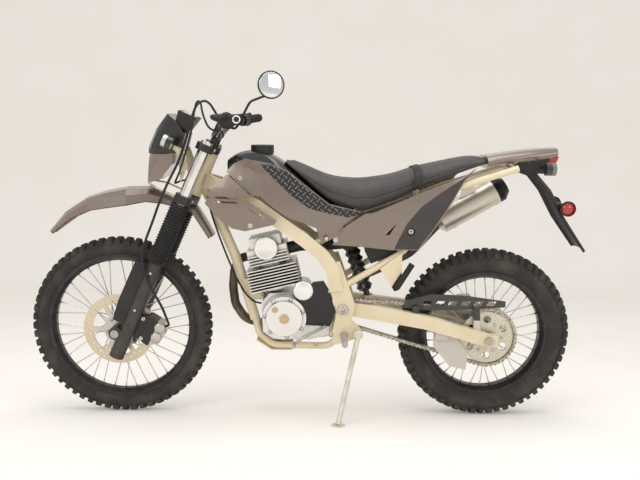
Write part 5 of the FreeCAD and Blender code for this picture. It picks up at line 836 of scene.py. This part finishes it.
# Fuel tank: pressed steel halves, welded and painted gloss black.
# The covers hide its flanks, so that only its top and the filler show.
tank_black = weathered("tank_black", (0.010, 0.010, 0.011), 0.14, ((9, 5), (0.009, 0.009, 0.010), (0.02, 0.019, 0.018)),
                       ((120, 4), 0.1, 0.24), coat=0.9)
dress(tank_black, "fuel_tank")

# Seat: moulded foam on a plastic pan under a stretched black cover, stapled below.
# The sides are sewn to the top along one stitched seam, and a strap for the passenger goes over it.
SEAT_STATIONS = np.array([(-0.046, 0.960, 0.976, 0.62), (0.000, 0.905, 0.949, 0.78), (0.070, 0.829, 0.911, 0.95),
                          (0.132, 0.802, 0.900, 1.0), (0.182, 0.803, 0.904, 1.0), (0.240, 0.835, 0.918, 1.0),
                          (0.300, 0.872, 0.944, 0.98), (0.358, 0.905, 0.962, 0.95), (0.430, 0.940, 0.982, 0.84),
                          (0.480, 0.962, 0.986, 0.70)])
SEAT_SECTION = np.array([(-0.86, 0), (-1, 0.3), (-0.94, 0.7), (-0.6, 0.96), (0, 1), (0.6, 0.96), (0.94, 0.7), (1, 0.3),
                         (0.86, 0), (0.45, 0), (0, 0), (-0.45, 0), (-0.86, 0)])
SEAT_RINGS = 97
SECTION_POINTS = 73
SEAT_HALF = 0.108
LEAST_HALF = 0.02
LEAST_HEIGHT = 0.004
SEAT_TUCK = 0.004
SEAT_SWELL = 0.006
SEAM_LEVEL = 0.36
SEAM_WIDTH = 0.045
SKIN_CELL = 0.0055
FOAM_PRESSURE = 4
CLOTH_STEPS = 20
PAN_EDGE = 0.02


def flow(stations, count):
    """A smooth line through the stations: each stretch is the cubic that leaves and arrives along the chord of its
    neighbours."""
    stations = np.asarray(stations, dtype=float)
    padded = np.concatenate([2 * stations[:1] - stations[1:2], stations, 2 * stations[-1:] - stations[-2:-1]])
    at = np.linspace(0, len(stations) - 1, count)
    start = np.minimum(at.astype(int), len(stations) - 2)
    t = (at - start)[:, None]
    a, b, c, d = (padded[start + step] for step in range(4))
    return 0.5 * (2 * b + (c - a) * t + (2 * a - 5 * b + 4 * c - d) * t ** 2 + (3 * b - a - 3 * c + d) * t ** 3)


def seat_rings(tuck):
    """Sections of the seat along its length: the section's shares of width and height, drawn in by tuck."""
    x, low, high, share = flow(SEAT_STATIONS, SEAT_RINGS).T[:, :, None]
    across, level = flow(SEAT_SECTION, SECTION_POINTS).T[:, None]
    half = np.maximum(SEAT_HALF * share - tuck, LEAST_HALF)
    rise = np.maximum(high - low - tuck, LEAST_HEIGHT)
    return np.stack([x * WHEELBASE + 0 * across, half * across, low + rise * level], axis=-1)


rings = seat_rings(SEAT_TUCK)
middles = rings.mean(axis=1, keepdims=True)
caps = [middles[:1] + 0 * rings[:1], middles[-1:] + 0 * rings[:1]]
seat_cover = moulded("seat_cover", (0.052, 0.046, 0.047), 0.55, 1.25, 0.0006)
foam = closed(sheets("seat_foam", np.concatenate([caps[0], rings, caps[1]])[None], seat_cover))


def evaluated(piece):
    """The piece's mesh with its modifiers worked in."""
    view = bpy.context.evaluated_depsgraph_get()
    return bpy.data.meshes.new_from_object(piece.evaluated_get(view))


def corners_of(mesh):
    """The mesh's points, a row of x, y and z for each."""
    places = np.zeros(len(mesh.vertices) * 3)
    mesh.vertices.foreach_get("co", places)
    return places.reshape(-1, 3)


remesh = foam.modifiers.new("even_skin", "REMESH")
remesh.mode = "VOXEL"
remesh.voxel_size = SKIN_CELL
remesh.use_smooth_shade = True
even = evaluated(foam)
foam.modifiers.clear()
foam.data = even
start = corners_of(even)
settled = start
cloth = foam.modifiers.new("cloth", "CLOTH")
cloth.settings.use_pressure = True
cloth.settings.uniform_pressure_force = FOAM_PRESSURE
cloth.settings.effector_weights.gravity = 0
for step in range(1, CLOTH_STEPS + 1):
    bpy.context.scene.frame_set(step)
settled = corners_of(evaluated(foam))
foam.modifiers.clear()
bpy.context.scene.frame_set(1)
low, high = (np.interp(start[:, 0], SEAT_STATIONS[:, 0] * WHEELBASE, SEAT_STATIONS[:, column]) for column in (1, 2))
move = settled - start
length = np.linalg.norm(move, axis=1, keepdims=True)
move *= np.minimum(1, SEAT_SWELL / np.maximum(length, 1e-9))
move *= np.clip((start[:, 2:] - low[:, None]) / PAN_EDGE, 0, 1)
puffed = start + move
level = foam.data.attributes.new("level", "FLOAT", "POINT")
level.data.foreach_set("value", (puffed[:, 2] - low) / np.maximum(high - low, LEAST_HEIGHT))
foam.data.vertices.foreach_set("co", parked(puffed).ravel())
foam.data.update()
foam.data.polygons.foreach_set("use_smooth", [True] * len(foam.data.polygons))
if not foam.data.materials:
    foam.data.materials.append(seat_cover)
foam.name = "seat_cushion"
smooth_skin = foam.modifiers.new("skin", "SUBSURF")
smooth_skin.levels = smooth_skin.render_levels = 1
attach(foam, "chassis")
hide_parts("seat")

share_of_height = node(seat_cover, "Attribute", attribute_name="level").outputs["Fac"]
off_seam = calc(seat_cover, "SUBTRACT", share_of_height, SEAM_LEVEL)
seam = between(seat_cover, calc(seat_cover, "ABSOLUTE", off_seam), 0.0, SEAM_WIDTH)
bump(seat_cover, seam, 0.003, 0.9)

STRAP_AT = 0.298
STRAP_WIDTH = 0.026
STRAP_LIFT = 0.006
STRAP_THICKNESS = 0.0025
strap_webbing = moulded("strap_webbing", (0.020, 0.019, 0.020), 0.7, 1.4, 0.0005)
band_row = seat_rings(-STRAP_LIFT)
band_x = np.linspace(-0.5, 0.5, 7) * STRAP_WIDTH + STRAP_AT * WHEELBASE
row_x = band_row[:, 0, 0]
upper = band_row[:, 1:49]
band = np.stack([[np.interp(band_x, row_x, upper[:, column, axis]) for column in range(upper.shape[1])]
                 for axis in range(3)], axis=-1)
strap = sheets("seat_strap", parked(band)[None], strap_webbing)
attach(walled(strap, STRAP_THICKNESS), "chassis")

# Engine: sand-blasted aluminium castings with bright fin edges; painted shade darkens the recesses between them.
# Small flanged bolts hold its covers all round, and two brass plugs close the holes in the round one.
COVER_CENTRE = (-0.0655, 0.398)
COVER_BOLT_RADIUS = 0.0725
# How far the painted shade in the engine's recesses looks for nearby surfaces.
SHADE_REACH = 0.022
engine_cast = finish("engine_castings", (0.80, 0.78, 0.75), 0.4, metallic=0.6)
worn(engine_cast, 0.3, 0.52, 90, 4)
grain(engine_cast, 0.0004, 850, 3, strength=0.3)
# Painted shade: the castings' colour falls to near black where other surfaces lie close, in the gaps between fins and
# in other recesses.
painted_shade = node(engine_cast, "AmbientOcclusion", Distance=SHADE_REACH)
vary(engine_cast, painted_shade.outputs["AO"], "Base Color", (0.12, 0.110, 0.098), (0.80, 0.78, 0.75), 0.2, 0.8)
dress(engine_cast, "engine_case", "engine_cylinder", "engine_head")
cover_bolts = bolt_circle(COVER_CENTRE, COVER_BOLT_RADIUS, 7, 0.35, -0.1105)
turned("cover_bolts", scaled(NUT_SHARES, 0.0055, 0.0032), cover_bolts, LEFT, zinc, "chassis", 12)

HEAD_COVER = [(0.0, 0.0030), (0.030, 0.0030), (0.034, 0.0055), (0.039, 0.0055), (0.0425, 0.0030), (0.0425, -0.006),
              (0.0, -0.006)]
polished = weathered("polished_cover", (0.84, 0.83, 0.80), 0.22, ((20, 4), (0.80, 0.79, 0.76), (0.87, 0.86, 0.83)),
                     ((60, 3), 0.2, 0.28), metallic=0.6)
turned("head_round_cover", HEAD_COVER, (-0.1339, -0.080, 0.6514), LEFT, polished, "chassis", 56)
STARTER_COVER = [(0.0, 0.0190), (0.029, 0.0185), (0.0345, 0.0162), (0.0375, 0.0120), (0.0295, 0.0118), (0.0295, -0.004),
                 (0.0, -0.004)]
turned("starter_round_cover", STARTER_COVER, (0.0027, -0.0885, 0.500), LEFT, polished, "chassis", 56)
plug_brass = finish("plug_brass", (0.55, 0.43, 0.25), 0.32, metallic=0.8)
worn(plug_brass, 0.26, 0.42, 80, 3)
PLUG_SHARES = [(0.0, 1.0), (0.86, 1.0), (1.0, 0.7), (1.0, -0.5), (0.0, -0.5)]
for name, place, radius, height, sides in (("timing_plug", (-0.0655, -0.118, 0.398), 0.0173, 0.0055, 36),
                                           ("sight_plug", (-0.0983, -0.118, 0.432), 0.0103, 0.0045, 28)):
    turned(name, scaled(PLUG_SHARES, radius, height), place, LEFT, plug_brass, "chassis", sides)

# Exhaust: a bent steel header, browned by heat and road dirt, and a muffler of rolled sheet.
# The muffler is brushed and ends in a black cap.
HEADER_BROWN = (0.10, 0.075, 0.055)
header_steel = weathered("heated_header", HEADER_BROWN, 0.45, ((14, 6), (0.065, 0.05, 0.04), (0.16, 0.12, 0.085)),
                         ((120, 4), 0.35, 0.6), metallic=0.6)
grain(header_steel, 0.0004, 500, 4)
dress(header_steel, "exhaust_pipe")
MUFFLER_FRONT = (0.535, 0.150, 0.724)
MUFFLER_RUN = (0.224, 0.0, 0.130)
MUFFLER_BARE = 0.236
MUFFLER_COLOUR = (0.62, 0.57, 0.49)
muffler_steel = finish("brushed_muffler", MUFFLER_COLOUR, 0.3, metallic=0.75)
on_cap = along_line(muffler_steel, MUFFLER_FRONT, MUFFLER_RUN, MUFFLER_BARE, MUFFLER_BARE + 0.001)
two_tone(muffler_steel, on_cap, MUFFLER_COLOUR, (0.014, 0.013, 0.0125))
worn(muffler_steel, 0.24, 0.44, 300, 3, (1, 6, 6))
dress(muffler_steel, "muffler")

# Foot pegs, levers and the side stand: forged and painted steel.
# The passenger's pegs, behind, are black rubber on cream brackets; the stand has a pale plating.
PASSENGER_FROM = 0.25
PASSENGER_PEG_FOOT = (0.331, 0.0, 0.508)
PEG_ACROSS = (0.852, 0.0, -0.524)
PEG_STEEL = (0.44, 0.42, 0.38)
peg_finish = finish("peg_finish", PEG_STEEL, 0.5, metallic=0.3)
behind = along_line(peg_finish, (PASSENGER_FROM, 0, 0), (1, 0, 0), 0.0, 0.002)
on_peg = along_line(peg_finish, PASSENGER_PEG_FOOT, PEG_ACROSS, -0.013, -0.012)
share = calc(peg_finish, "MULTIPLY", behind, calc(peg_finish, "MULTIPLY_ADD", on_peg, 0.5, 0.5))
peg_ramp = two_tone(peg_finish, share, PEG_STEEL, (0.016, 0.015, 0.015))
peg_ramp.color_ramp.elements.new(0.5).color = (*CREAM, 1)
worn(peg_finish, 0.4, 0.65, 150, 4)
dress(peg_finish, "foot_pegs")
stand_plate = weathered("stand_plate", (0.68, 0.63, 0.54), 0.38, ((30, 5), (0.60, 0.55, 0.45), (0.76, 0.72, 0.63)),
                        ((160, 3), 0.28, 0.5), metallic=0.35)
dress(stand_plate, "side_stand")
lever_steel = weathered("lever_steel", (0.48, 0.455, 0.42), 0.34, ((60, 5), (0.30, 0.28, 0.25), (0.54, 0.515, 0.48)),
                        ((200, 3), 0.25, 0.5), metallic=0.85)
dress(lever_steel, "foot_controls")

# Chain guard and guide: the guard over the chain is satin dark, and the guide under it is milky nylon.
# Both are mouldings of one wall, bolted to the swingarm; the colour changes with the height.
GUIDE_TOP = 0.392
GUIDE_NYLON = (0.60, 0.56, 0.50)
GUARD_DARK = (0.045, 0.042, 0.042)
guard_nylon = finish("guard_and_guide", (0.05, 0.047, 0.046), 0.45)
over_guide = along_line(guard_nylon, (0, 0, GUIDE_TOP), (0, 0, 1), 0.0, 0.002)
two_tone(guard_nylon, over_guide, GUIDE_NYLON, GUARD_DARK)
worn(guard_nylon, 0.36, 0.56, 80, 4)
grain(guard_nylon, 0.0004, 900, 2)
dress(guard_nylon, "chain_guards")

# Side reflectors: red prismatic discs pressed into black rims.
# Each is screwed to one end of a black bar across the rear mudguard.
REFLECTOR = [(0.0, 0.012), (0.0235, 0.012), (0.0235, 0.009), (0.0, 0.009)]
REFLECTOR_RIM = [(0.0, 0.0105), (0.0236, 0.0105), (0.0240, 0.0135), (0.0262, 0.0135), (0.0275, 0.011), (0.0275, 0.002),
                 (0.009, 0.0), (0.009, -0.014), (0.0, -0.014)]
prism_red = finish("prism_red", (0.55, 0.02, 0.012), 0.14, coat=1.0)
prisms = cells(prism_red, 330.0)["Distance"]
vary(prism_red, prisms, "Base Color", (0.62, 0.035, 0.02), (0.36, 0.006, 0.005), 0.0, 0.6)
bump(prism_red, prisms, 0.0008)
BAR = [(0.0, 0.132), (0.0115, 0.132), (0.0125, 0.130), (0.0125, 0.002), (0.0115, 0.0), (0.0, 0.0)]
turned("reflector_bar", BAR, (0.9485, -0.066, 0.805), RIGHT, black_plastic, "chassis", 24)
reflector_places = [(0.950, -0.076, 0.805), (0.950, 0.076, 0.805)]
turned("reflectors", REFLECTOR, reflector_places, [LEFT, RIGHT], prism_red, "chassis", 40)
turned("reflector_rims", REFLECTOR_RIM, reflector_places, [LEFT, RIGHT], black_plastic, "chassis", 40)
